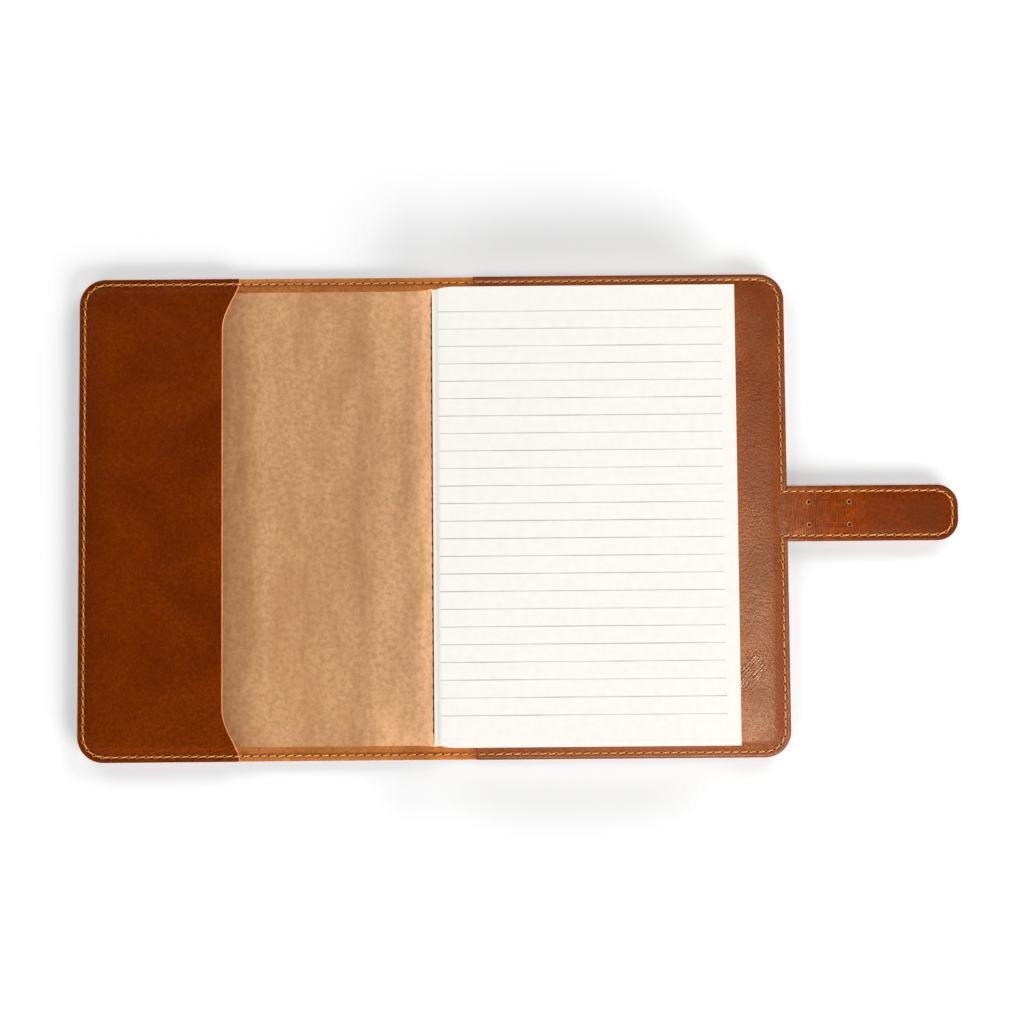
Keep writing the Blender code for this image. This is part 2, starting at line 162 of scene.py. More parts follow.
def added(name: str) -> Piece:
    """Name the primitive that was just added, and put its place into its mesh.

    Args:
        name: Its name.

    Returns:
        The primitive.
    """
    obj = bpy.context.view_layer.objects.active
    obj.name = name
    obj.data.name = name
    return settle(obj)


def select_parts(
    obj: Piece,
    verts: Optional[Callable[[bpy.types.MeshVertex], bool]] = None,
    edges: Optional[Callable[[bpy.types.MeshEdge], bool]] = None,
) -> None:
    """Select a mesh's vertices or edges by a rule, and go into edit mode.

    Args:
        obj: The object to edit.
        verts: The rule that picks vertices.
        edges: The rule that picks edges.
    """
    pick(obj)
    bpy.ops.object.mode_set(mode="EDIT")
    bpy.ops.mesh.select_mode(type="VERT" if verts else "EDGE")
    bpy.ops.mesh.select_all(action="DESELECT")
    bpy.ops.object.mode_set(mode="OBJECT")
    if verts:
        for vert in obj.data.vertices:
            vert.select = verts(vert)
    if edges:
        for edge in obj.data.edges:
            edge.select = edges(edge)
    bpy.ops.object.mode_set(mode="EDIT")


def object_mode() -> None:
    """Go back to object mode."""
    bpy.ops.object.mode_set(mode="OBJECT")


def apply_modifier(obj: Piece, kind: str, **settings: object) -> None:
    """Add a modifier with its settings, and apply it.

    Args:
        obj: The object to change.
        kind: The modifier's type.
        **settings: The modifier's settings.
    """
    pick(obj)
    modifier = obj.modifiers.new(kind, kind)
    for key, value in settings.items():
        setattr(modifier, key, value)
    bpy.ops.object.modifier_apply(modifier=modifier.name)


def bisect(obj: Piece, axis: int, places: Iterable[float]) -> None:
    """Cut new edges right across a mesh.

    Args:
        obj: The object to cut.
        axis: 0 to cut across X, 1 to cut across Y.
        places: Where to cut along that axis.
    """
    pick(obj)
    bpy.ops.object.mode_set(mode="EDIT")
    normal = (1.0, 0.0, 0.0) if axis == 0 else (0.0, 1.0, 0.0)
    for place in places:
        bpy.ops.mesh.select_all(action="SELECT")
        point = (place, 0.0, 0.0) if axis == 0 else (0.0, place, 0.0)
        bpy.ops.mesh.bisect(plane_co=point, plane_no=normal)
    object_mode()


def sharp_edges(obj: Piece, limit: float = 50.0) -> set[int]:
    """Find the edges whose two faces turn sharply.

    Args:
        obj: The object to look at.
        limit: The least turn in degrees.

    Returns:
        The indices of those edges.
    """
    normals: dict[tuple[int, int], list[Vector]] = {}
    for polygon in obj.data.polygons:
        for key in polygon.edge_keys:
            normals.setdefault(key, []).append(polygon.normal)
    found = set()
    for edge in obj.data.edges:
        pair = normals.get(tuple(sorted(edge.vertices)), [])
        if len(pair) == 2 and pair[0].angle(pair[1], 0) > math.radians(limit):
            found.add(edge.index)
    return found


def edge_middle(obj: Piece, edge: bpy.types.MeshEdge) -> Vector:
    """The middle of an edge."""
    first, last = (obj.data.vertices[i].co for i in edge.vertices)
    return (first + last) / 2


def round_edges(
    obj: Piece, radius: float, keep_sharp: Callable[[Vector], bool] = lambda middle: False
) -> None:
    """Round a piece's sharp edges, apart from those that meet the next piece.

    Args:
        obj: The piece.
        radius: How far the rounding reaches.
        keep_sharp: Says from an edge's middle whether the edge stays sharp.
    """
    sharp = sharp_edges(obj)
    chosen = {i for i in sharp if not keep_sharp(edge_middle(obj, obj.data.edges[i]))}
    select_parts(obj, edges=lambda edge: edge.index in chosen)
    bpy.ops.mesh.bevel(offset=radius, segments=3, affect="EDGES", clamp_overlap=True)
    object_mode()


def soften(obj: Piece, angle: float = 40.0) -> None:
    """Shade a piece smooth, with its sharpest edges kept."""
    pick(obj)
    bpy.ops.object.shade_smooth_by_angle(angle=math.radians(angle))


def join(name: str, pieces: list[Piece]) -> Piece:
    """Join pieces into one object.

    Args:
        name: The joined object's name.
        pieces: What to join.

    Returns:
        The joined object.
    """
    deselect()
    for piece in pieces:
        piece.select_set(True)
    bpy.context.view_layer.objects.active = pieces[0]
    bpy.ops.object.join()
    return added(name)


def grid_sheet(
    name: str, across: list[float], along: list[float], place: Callable[[float, float], Vector]
) -> Piece:
    """Make a thin sheet from a grid, with each point put where it belongs.

    Args:
        name: The sheet's name.
        across: The stations across the sheet.
        along: The stations along the sheet.
        place: Gives a point's place from its two stations.

    Returns:
        The sheet, one face thick.
    """
    steps_x = len(across) - 1
    steps_y = len(along) - 1
    deselect()
    bpy.ops.mesh.primitive_grid_add(x_subdivisions=steps_x, y_subdivisions=steps_y, size=2)
    sheet = added(name)
    for vert in sheet.data.vertices:
        column = round((vert.co.x + 1) / 2 * steps_x)
        row = round((vert.co.y + 1) / 2 * steps_y)
        vert.co = place(across[column], along[row])
    return sheet


def thicken(obj: Piece, thickness: float, offset: float = -1.0) -> None:
    """Give a sheet its thickness, downwards unless offset says otherwise."""
    apply_modifier(obj, "SOLIDIFY", thickness=thickness, offset=offset, use_even_offset=False)


def copy_at(model: Piece, place: tuple, turn: float, scale: tuple) -> Piece:
    """Copy a repeat to where it goes, with its own mesh.

    Args:
        model: The piece that is modelled once.
        place: Where the copy goes.
        turn: Its turn about Z, in radians.
        scale: Its size along each of its own axes.

    Returns:
        The copy.
    """
    copy = model.copy()
    copy.data = model.data.copy()
    bpy.context.collection.objects.link(copy)
    copy.location = place
    copy.rotation_euler = (0, 0, turn)
    copy.scale = scale
    return copy


def join_copies(name: str, copies: list[Piece]) -> Piece:
    """Put the copies' places into their meshes, and join them.

    Args:
        name: The joined piece's name.
        copies: What to join.

    Returns:
        The joined piece.
    """
    deselect()
    for copy in copies:
        copy.select_set(True)
    bpy.context.view_layer.objects.active = copies[0]
    bpy.ops.object.transform_apply(location=True, rotation=True, scale=True)
    return join(name, copies)


def inside_corner(out_x: float, out_y: float, radius: float) -> float:
    """How far a point is inside a rounded outline, from how far it is past the corner's centre."""
    outside = math.hypot(max(out_x, 0), max(out_y, 0))
    return radius - outside - min(max(out_x, out_y), 0)


# ---------------------------------------------------------------- the plan


@dataclass(frozen=True)
class Plan:
    """The cover's plan, read from the frame.

    The distances from the edge say where the seam runs and how far the sewn rim reaches.
    """

    half_width: float
    half_height: float
    half_spine: float
    leather: float
    rim_top: float
    front_lid: float
    back_lid: float
    panel_edge: float
    flap_edge_head: float
    strap_half: float
    strap_end: float
    root_fold: float
    tongue_fold: float
    fold_z: float
    page_half: float
    page_edge: float
    page_top: float
    block_bottom: float
    wrapper_edge: float
    magnet_x: float
    corner: float = 12 * MM
    flap_edge: float = -96.9 * MM
    flap_curve_start: float = 86 * MM
    flap_sweep: float = 1.3
    channel_width: float = 0.75 * MM
    strap_tip: float = 9.5 * MM
    seam_inset: float = 2.6 * MM
    rim: float = 3.6 * MM
    lid_from: float = 8.0 * MM

    @classmethod
    def from_frame(cls) -> "Plan":
        """Read the plan's sizes from the frame's nodes and joints.

        Returns:
            The plan.
        """
        joints = {joint["name"]: joint for joint in frame["joints"]}
        front_low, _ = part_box("front_outer_leather")
        _, tongue_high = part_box("strap_tongue_outer")
        leaf_low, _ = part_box("kraft_front_leaf")
        _, first_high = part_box("first_ruled_leaf")
        magnet_low, magnet_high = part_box("strap_magnet")
        return cls(
            half_width=-front_low[0],
            half_height=-front_low[1],
            half_spine=joints["cover_fold"]["pos_m"][0],
            leather=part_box("spine_leather")[1][2],
            rim_top=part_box("strap_bridge_lining")[1][2],
            front_lid=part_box("front_pocket_flap")[1][2],
            back_lid=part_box("back_pocket_panel")[1][2],
            panel_edge=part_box("back_pocket_panel")[0][0],
            flap_edge_head=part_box("front_pocket_flap")[1][0],
            strap_half=tongue_high[1],
            strap_end=tongue_high[0],
            root_fold=joints["strap_root_fold"]["pos_m"][0],
            tongue_fold=joints["strap_tongue_fold"]["pos_m"][0],
            fold_z=joints["front_leaf_turn"]["pos_m"][2],
            page_half=first_high[1],
            page_edge=first_high[0],
            page_top=first_high[2],
            block_bottom=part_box("ruled_leaves")[0][2],
            wrapper_edge=-leaf_low[0],
            magnet_x=(magnet_low[0] + magnet_high[0]) / 2,
        )

    def cover_edge(self, x: float, y: float) -> float:
        """How far inside the cover's own outline a point is."""
        out_x = abs(x) - self.half_width + self.corner
        return inside_corner(out_x, abs(y) - self.half_height + self.corner, self.corner)

    def strap_edge(self, x: float, y: float) -> float:
        """How far inside the strap's outline a point is."""
        out_x = x - self.strap_end + self.strap_tip
        return inside_corner(out_x, abs(y) - self.strap_half + self.strap_tip, self.strap_tip)

    def edge(self, x: float, y: float) -> float:
        """How far inside the outline of cover and strap together a point is."""
        cover = self.cover_edge(x, y)
        return cover if x < self.half_width - self.rim else max(cover, self.strap_edge(x, y))

    def flap_x(self, y: float) -> float:
        """Where the flap's free edge is, at a height on the page."""
        sweep = smooth(abs(y), self.flap_curve_start, self.half_height) ** self.flap_sweep
        return self.flap_edge + (self.flap_edge_head - self.flap_edge) * sweep

    def channel(self, x: float, y: float) -> float:
        """How strongly the seam pulls the leather down, from 0 to 1."""
        return bell(self.edge(x, y), self.seam_inset, self.channel_width)

    def press(self, x: float, y: float) -> float:
        """How deep the seam and the worn edge press a face down."""
        worn = 0.14 * MM * bell(self.edge(x, y), 0, 0.9 * MM)
        return 0.30 * MM * self.channel(x, y) + worn


@dataclass(frozen=True)
class Bend:
    """Where a piece bends between two bodies, as far to each side of their fold."""

    first: str
    second: str
    fold: float
    reach: float
    height: float

    def apply(self, piece: Piece) -> None:
        """Put a piece's place into its mesh.

        Args:
            piece: The piece, with its mesh final.
        """
        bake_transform(piece)


PLAN = Plan.from_frame()
FOLD_REACH = 2.8 * MM
FOLD_STEPS = 10
FRONT_BEND = Bend("front_cover", "spine", -PLAN.half_spine, FOLD_REACH, PLAN.leather)
BACK_BEND = Bend("spine", "back_cover", PLAN.half_spine, FOLD_REACH, PLAN.leather)
ROOT_REACH = PLAN.root_fold - PLAN.half_width
ROOT_BEND = Bend("back_cover", "strap_bridge", PLAN.root_fold, ROOT_REACH, PLAN.rim_top)
TONGUE_BEND = Bend("strap_bridge", "strap_tongue", PLAN.tongue_fold, FOLD_REACH, PLAN.rim_top)
BRIDGE_MIDDLE = (PLAN.root_fold + PLAN.tongue_fold) / 2
STRAP_SEAM = (PLAN.half_width, PLAN.strap_half)
LINING_BOTTOM = PLAN.leather + 0.03 * MM


# ---------------------------------------------------------------- finishes


class Slot(Enum):
    """The record's material slots."""

    COVER = "cover_leather"
    POCKET = "pocket_leather"
    STRAP = "strap_leather"
    THREAD = "waxed_thread"
    KRAFT = "kraft_card"
    PAPER = "ruled_paper"
    BINDING = "binding_thread"


class Nodes:
    """A material's node tree, with short calls to build it."""

    def __init__(self, name: str) -> None:
        """Start a material with its shader.

        Args:
            name: The material's name.
        """
        self.material = bpy.data.materials.new(name)
        self.material.use_nodes = True
        self.tree = self.material.node_tree
        self.shader = self.tree.nodes["Principled BSDF"]
        self.place = self.add("ShaderNodeTexCoord").outputs["Object"]

    def add(self, kind: str, **settings: object) -> bpy.types.Node:
        """Add a node.

        Args:
            kind: The node's type.
            **settings: Its settings.

        Returns:
            The node.
        """
        node = self.tree.nodes.new(kind)
        for key, value in settings.items():
            setattr(node, key, value)
        return node

    def feed(self, socket: Socket, value: object) -> None:
        """Give an input a link or a plain value.

        Args:
            socket: The input.
            value: Another node's output, a number or a colour.
        """
        if isinstance(value, Socket):
            self.tree.links.new(value, socket)
        elif isinstance(value, tuple) and len(value) == 3 and len(socket.default_value) == 4:
            socket.default_value = (*value, 1.0)
        else:
            socket.default_value = value

    def fed(self, kind: str, inputs: dict[object, object], **settings: object) -> bpy.types.Node:
        """Add a node and feed its inputs.

        Args:
            kind: The node's type.
            inputs: What each named or numbered input is given.
            **settings: The node's settings.

        Returns:
            The node.
        """
        node = self.add(kind, **settings)
        for key, value in inputs.items():
            self.feed(node.inputs[key], value)
        return node

    def moved(self, middle: tuple = (0, 0, 0), turn: float = 0.0, scale: tuple = (1, 1, 1)) -> Socket:
        """Object coordinates centred on a place, turned about Z and scaled.

        Args:
            middle: The place that becomes the centre.
            turn: The turn in degrees.
            scale: The scale along each turned axis.

        Returns:
            The new coordinates.
        """
        at = self.place
        steps = (
            ("Location", tuple(-value for value in middle)),
            ("Rotation", (0, 0, math.radians(-turn))),
            ("Scale", scale),
        )
        for key, value in steps:
            node = self.add("ShaderNodeMapping")
            node.inputs[key].default_value = value
            self.feed(node.inputs["Vector"], at)
            at = node.outputs["Vector"]
        return at

    def noise(
        self, scale: float, detail: float = 3.0, rough: float = 0.5, warp: float = 0.0, at: object = None
    ) -> Socket:
        """Cloudy noise, from 0 to 1.

        Args:
            scale: How many features there are to the metre.
            detail: How many finer layers it has.
            rough: How strong the finer layers are.
            warp: How much it curls.
            at: Its coordinates, or None for the object's own.

        Returns:
            The noise.
        """
        inputs = {
            "Vector": at or self.place,
            "Scale": scale,
            "Detail": detail,
            "Roughness": rough,
            "Distortion": warp,
        }
        return self.fed("ShaderNodeTexNoise", inputs).outputs["Fac"]

    def cells(self, scale: float, at: object) -> Socket:
        """The distance within small cells, at so many to the metre."""
        inputs = {"Vector": at, "Scale": scale}
        return self.fed("ShaderNodeTexVoronoi", inputs, feature="F1").outputs["Distance"]

    def bands(self, scale: float, warp: float, detail: float, at: object) -> Socket:
        """Wavy bands across X, from 0 to 1.

        Args:
            scale: How close the bands are.
            warp: How much they wander.
            detail: How finely they wander.
            at: Their coordinates.

        Returns:
            The bands.
        """
        inputs = {
            "Vector": at,
            "Scale": scale,
            "Distortion": warp,
            "Detail": detail,
            "Detail Scale": 1.4,
        }
        node = self.fed("ShaderNodeTexWave", inputs, wave_type="BANDS", bands_direction="X")
        return node.outputs["Fac"]

    def math(self, operation: str, first: object, second: object = 0.0) -> Socket:
        """One sum on two values."""
        return self.fed("ShaderNodeMath", {0: first, 1: second}, operation=operation).outputs["Value"]

    def times(self, first: object, second: object) -> Socket:
        """The product of two values."""
        return self.math("MULTIPLY", first, second)

    def ramp(
        self, value: object, low: float, high: float, start: float = 0.0, end: float = 1.0
    ) -> Socket:
        """Stretch a value's range smoothly, and hold it at both ends.

        Args:
            value: The value.
            low: Where its range begins.
            high: Where its range ends.
            start: What low becomes.
            end: What high becomes.

        Returns:
            The stretched value.
        """
        inputs = {"Value": value, "From Min": low, "From Max": high, "To Min": start, "To Max": end}
        node = self.fed("ShaderNodeMapRange", inputs, interpolation_type="SMOOTHSTEP")
        return node.outputs["Result"]

    def mix(self, share: object, first: object, second: object, blend: str = "MIX") -> Socket:
        """Mix two colours.

        Args:
            share: How much of the second is mixed in.
            first: The first colour.
            second: The second colour.
            blend: How they are mixed.

        Returns:
            The mixed colour.
        """
        node = self.fed("ShaderNodeMix", {"Factor": share}, data_type="RGBA", blend_type=blend)
        self.feed(node.inputs[6], first)
        self.feed(node.inputs[7], second)
        return node.outputs[2]

    def spot(self, middle: tuple, reach: Point, turn: float = 0.0) -> Socket:
        """A soft oval mask.

        Args:
            middle: Its middle.
            reach: Its two half widths.
            turn: Its turn in degrees.

        Returns:
            A mask that is 1 in the middle and 0 at the rim.
        """
        at = self.moved(middle, turn, (1 / reach[0], 1 / reach[1], 0))
        return self.fed("ShaderNodeTexGradient", {"Vector": at}, gradient_type="SPHERICAL").outputs["Fac"]

    def along(self, axis: str) -> Socket:
        """The distance along X or Y."""
        return self.fed("ShaderNodeSeparateXYZ", {0: self.place}).outputs[axis]

    def attribute(self, name: str) -> Socket:
        """A number that is stored on the piece's points."""
        return self.add("ShaderNodeAttribute", attribute_name=name).outputs["Fac"]

    def bump(self, height: object, depth: float, before: object = None) -> Socket:
        """Turn a height from 0 to 1 into relief.

        Args:
            height: The height.
            depth: How deep the relief is.
            before: The relief that it is added to.

        Returns:
            The relief.
        """
        inputs = {"Strength": 1.0, "Distance": depth, "Height": height}
        if before:
            inputs["Normal"] = before
        return self.fed("ShaderNodeBump", inputs).outputs["Normal"]

    def gloss(self, level: object, others: Optional[dict[str, object]] = None) -> None:
        """Set how strongly the surface reflects, and other inputs of the shader."""
        for key, value in {"Specular IOR Level": level, **(others or {})}.items():
            self.feed(self.shader.inputs[key], value)

    def finish(self, colour: object, roughness: object, normal: object) -> bpy.types.Material:
        """Connect the shader's main inputs.

        Args:
            colour: The surface's colour.
            roughness: Its roughness.
            normal: Its relief.

        Returns:
            The material.
        """
        for key, value in (("Base Color", colour), ("Roughness", roughness), ("Normal", normal)):
            self.feed(self.shader.inputs[key], value)
        return self.material


def shaded(colour: Colour, share: float) -> Colour:
    """A colour made darker, or brighter up to white."""
    return tuple(min(1.0, value * share) for value in colour)


@dataclass(frozen=True)
class Creases:
    """A patch of fine creases set into leather, with painted shade in their furrows."""

    middle: Point
    reach: Point
    turn: float
    pitch: float
    depth: float
    shade: float = 0.35


@dataclass(frozen=True)
class ToneShift:
    """A slow change of a hide's colour along X: painted sheen where it brightens, painted shade where the
    sheen falls away.
    """

    start: float
    end: float
    factor: Colour


@dataclass(frozen=True)
class Leather:
    """Smooth pull-up leather with fine grain, clouding, creases and darker burnished edges, with painted
    shade in its creases and along its seam's groove.
    """

    name: str
    deep: Colour
    bright: Colour
    roughness: float = 0.36
    specular: float = 0.50
    tint: Colour = (1.0, 0.72, 0.46)
    grain: float = 0.10 * MM
    pebbles: float = 1050.0
    waves: float = 0.08 * MM
    index: float = 1.45
    creases: tuple[Creases, ...] = ()
    pressed: Optional[tuple[Point, float]] = None
    worn_from: Optional[tuple[float, float]] = None
    worn_specular: float = 0.3
    tones: tuple[ToneShift, ...] = ()

    def skin(self, nodes: Nodes) -> tuple[Socket, Socket]:
        """The hide's colour: clouds, fibres, pale flecks, pebbled grain and faint scratches.

        Args:
            nodes: The material.

        Returns:
            The colour, and how deep the grain's furrows are.
        """
        darker = shaded(self.deep, 0.66)
        cloud = nodes.ramp(nodes.noise(26, 4, 0.55, 0.6), 0.32, 0.70)
        colour = nodes.mix(cloud, self.deep, self.bright)
        fibre = nodes.ramp(nodes.noise(560, 5, 0.72), 0.36, 0.66)
        colour = nodes.mix(nodes.times(fibre, 0.60), colour, darker)
        fleck = nodes.ramp(nodes.noise(820, 3, 0.6, at=nodes.moved((0.4, 0.2, 0))), 0.56, 0.70)
        colour = nodes.mix(nodes.times(fleck, 0.35), colour, shaded(self.bright, 1.5))
        hide = nodes.moved(turn=8.0, scale=(1.0, 0.8, 1.0))
        pebble = nodes.ramp(nodes.cells(self.pebbles, hide), 0.10, 0.62)
        uneven = nodes.ramp(nodes.noise(520, 4, 0.6), 0.25, 0.75, 0.25, 1.0)
        pebble = nodes.times(pebble, uneven)
        colour = nodes.mix(nodes.times(pebble, 0.55), colour, darker)
        scratch = nodes.noise(140, 3, 0.55, 0.4, at=nodes.moved(turn=28, scale=(1.0, 0.07, 1.0)))
        scratch = nodes.times(nodes.ramp(scratch, 0.63, 0.74), nodes.ramp(cloud, 0.2, 0.9))
        return nodes.mix(nodes.times(scratch, 0.35), colour, self.bright), pebble

    def burnish(self, nodes: Nodes, colour: Socket, burnish_and_shade_tone: Colour) -> Socket:
        """Darken the burnished edge, and paint shade into the groove that the seam lies in.

        Args:
            nodes: The material.
            colour: The hide's colour.
            burnish_and_shade_tone: The darkest tone.

        Returns:
            The new colour.
        """
        edge = nodes.attribute("edge_distance")
        rub = nodes.times(nodes.ramp(edge, 0.0, 0.8 * MM, 1.0, 0.0), 0.45)
        colour = nodes.mix(rub, colour, burnish_and_shade_tone)
        # Painted shade: the seam's groove is darkened towards the darkest tone.
        seam = nodes.math("ABSOLUTE", nodes.math("SUBTRACT", edge, PLAN.seam_inset))
        return nodes.mix(nodes.ramp(seam, 0.3 * MM, 1.0 * MM, 0.62, 0.0), colour, burnish_and_shade_tone)

    def crease(
        self, nodes: Nodes, patch: Creases, colour: Socket, normal: Socket, burnish_and_shade_tone: Colour
    ) -> tuple[Socket, Socket]:
        """Press one patch of creases, broken up here and there, and paint shade into their furrows.

        Args:
            nodes: The material.
            patch: The patch.
            colour: The hide's colour.
            normal: Its relief.
            burnish_and_shade_tone: The tone in the creases.

        Returns:
            The new colour and relief.
        """
        middle = (*patch.middle, 0)
        mask = nodes.ramp(nodes.spot(middle, patch.reach, patch.turn), 0.0, 0.7)
        mask = nodes.times(mask, nodes.ramp(nodes.noise(210, 3, 0.6), 0.35, 0.62))
        at = nodes.moved(middle, patch.turn, (1, 0.22, 1))
        furrow = nodes.ramp(nodes.bands(BAND_PITCH / patch.pitch, 6.0, 4.0, at), 0.45, 0.95)
        furrow = nodes.times(furrow, mask)
        normal = nodes.bump(nodes.math("SUBTRACT", 1.0, furrow), patch.depth, normal)
        # Painted shade: the furrows are darkened by the patch's shade share.
        return nodes.mix(nodes.times(furrow, patch.shade), colour, burnish_and_shade_tone), normal

    def build(self) -> bpy.types.Material:
        """Make the leather's material.

        Returns:
            The material.
        """
        nodes = Nodes(self.name)
        colour, pebble = self.skin(nodes)
        across = nodes.along("X")
        # Painted sheen and shade: the colour is multiplied up or down along X.
        for tone in self.tones:
            colour = nodes.mix(nodes.ramp(across, tone.start, tone.end), colour, tone.factor, "MULTIPLY")
        burnish_and_shade_tone = shaded(self.deep, 0.40)
        colour = self.burnish(nodes, colour, burnish_and_shade_tone)
        normal = nodes.bump(nodes.math("SUBTRACT", 1.0, pebble), self.grain)
        normal = nodes.bump(nodes.noise(2400, 2, 0.6), 0.015 * MM, normal)
        normal = nodes.bump(nodes.noise(120, 2, 0.5, 0.3), self.waves, normal)
        for patch in self.creases:
            colour, normal = self.crease(nodes, patch, colour, normal, burnish_and_shade_tone)
        # Painted shade: a darker oval over the magnet, where the strap's sheen falls away.
        if self.pressed:
            middle, radius = self.pressed
            mark = nodes.ramp(nodes.spot((*middle, 0), (radius * 1.5, radius * 1.2)), 0.0, 0.6)
            colour = nodes.mix(nodes.times(mark, 0.75), colour, shaded(self.deep, 0.66))
        shine = self.specular
        if self.worn_from:
            shine = nodes.ramp(across, *self.worn_from, self.specular, self.worn_specular)
        nodes.gloss(shine, {"IOR": self.index, "Specular Tint": self.tint})
        patchy = nodes.noise(70, 4, 0.6)
        rough = nodes.ramp(patchy, 0.3, 0.7, self.roughness - 0.05, self.roughness + 0.06)
        return nodes.finish(colour, rough, normal)


@dataclass(frozen=True)
class Flesh:
    """The hide's napped flesh side, or its cut edge."""

    name: str
    pale: Colour
    dark: Colour
    nap: float = 0.12 * MM

    def build(self) -> bpy.types.Material:
        """Make the flesh side's material.

        Returns:
            The material.
        """
        nodes = Nodes(self.name)
        darker = shaded(self.dark, 0.62)
        cloud = nodes.ramp(nodes.noise(55, 4, 0.6, 0.5), 0.3, 0.7)
        colour = nodes.mix(cloud, self.pale, self.dark)
        fibre = nodes.noise(1100, 5, 0.75, 1.5, at=nodes.moved(turn=20, scale=(1, 0.45, 1)))
        colour = nodes.mix(nodes.ramp(fibre, 0.46, 0.70, 0.0, 0.85), colour, darker)
        speck = nodes.ramp(nodes.noise(480, 4, 0.7), 0.52, 0.68, 0.0, 0.7)
        colour = nodes.mix(speck, colour, darker)
        edge = nodes.attribute("edge_distance")
        # Painted shade: the flesh side is darkened along the seam's groove.
        seam = nodes.math("ABSOLUTE", nodes.math("SUBTRACT", edge, PLAN.seam_inset))
        colour = nodes.mix(nodes.ramp(seam, 0.1 * MM, 1.5 * MM, 0.45, 0.0), colour, darker)
        nodes.gloss(0.15, {"Sheen Weight": 0.12})
        rough = nodes.ramp(fibre, 0.2, 0.8, 0.82, 0.95)
        return nodes.finish(colour, rough, nodes.bump(fibre, self.nap))


@dataclass(frozen=True)
class Kraft:
    """Uncoated kraft card: cloudy pulp, short fibres, painted shade where it runs under the flap's mouth,
    and painted light beside the fold.
    """

    name: str
    pale: Colour
    dark: Colour
    # Painted shade: where the card runs under the flap's mouth it is darkened.
    mouth: tuple[float, float] = (-90 * MM, -74 * MM)
    mouth_tone: Colour = (0.66, 0.60, 0.54)
    # Painted light: the card beside the fold is brightened against the shade of its slope and the
    # booklet's shadow.
    bent: tuple[float, float] = (-34 * MM, -15 * MM)
    bent_tone: Colour = (1.46, 1.54, 1.64)

    def build(self) -> bpy.types.Material:
        """Make the card's material.

        Returns:
            The material.
        """
        nodes = Nodes(self.name)
        cloud = nodes.noise(70, 5, 0.66, 0.3, at=nodes.moved(scale=(1, 0.32, 1)))
        colour = nodes.mix(nodes.ramp(cloud, 0.3, 0.72), self.pale, self.dark)
        streak = nodes.noise(95, 3, 0.6, at=nodes.moved(scale=(1, 0.06, 1)))
        colour = nodes.mix(nodes.ramp(streak, 0.35, 0.68, 0.0, 0.35), colour, self.pale)
        pulp = nodes.ramp(nodes.noise(420, 6, 0.75), 0.38, 0.66)
        colour = nodes.mix(nodes.times(pulp, 0.62), colour, shaded(self.dark, 0.80))
        fleck = nodes.noise(1500, 2, 0.5, 1.0, at=nodes.moved(turn=15, scale=(1, 0.3, 1)))
        fleck = nodes.times(nodes.ramp(fleck, 0.66, 0.76), 0.42)
        colour = nodes.mix(fleck, colour, shaded(self.dark, 0.55))

        across = nodes.along("X")
        # Painted shade beside the flap's mouth, with a wandering edge.
        wander = nodes.times(nodes.noise(45, 3, 0.6, at=nodes.moved(scale=(0.1, 1, 1))), 5 * MM)
        mouth = nodes.ramp(nodes.math("ADD", across, wander), *self.mouth, 1.0, 0.0)
        colour = nodes.mix(nodes.times(mouth, 0.80), colour, self.mouth_tone, "MULTIPLY")
        # Painted light beside the fold.
        colour = nodes.mix(nodes.ramp(across, *self.bent), colour, self.bent_tone, "MULTIPLY")

        fibres = nodes.noise(900, 5, 0.7, at=nodes.moved(scale=(1, 0.4, 1)))
        waves = nodes.noise(90, 3, 0.5, at=nodes.moved(scale=(1, 0.25, 1)))
        normal = nodes.bump(waves, 0.25 * MM, nodes.bump(fibres, 0.07 * MM))
        nodes.gloss(0.12)
        return nodes.finish(colour, nodes.ramp(fibres, 0.2, 0.8, 0.78, 0.92), normal)


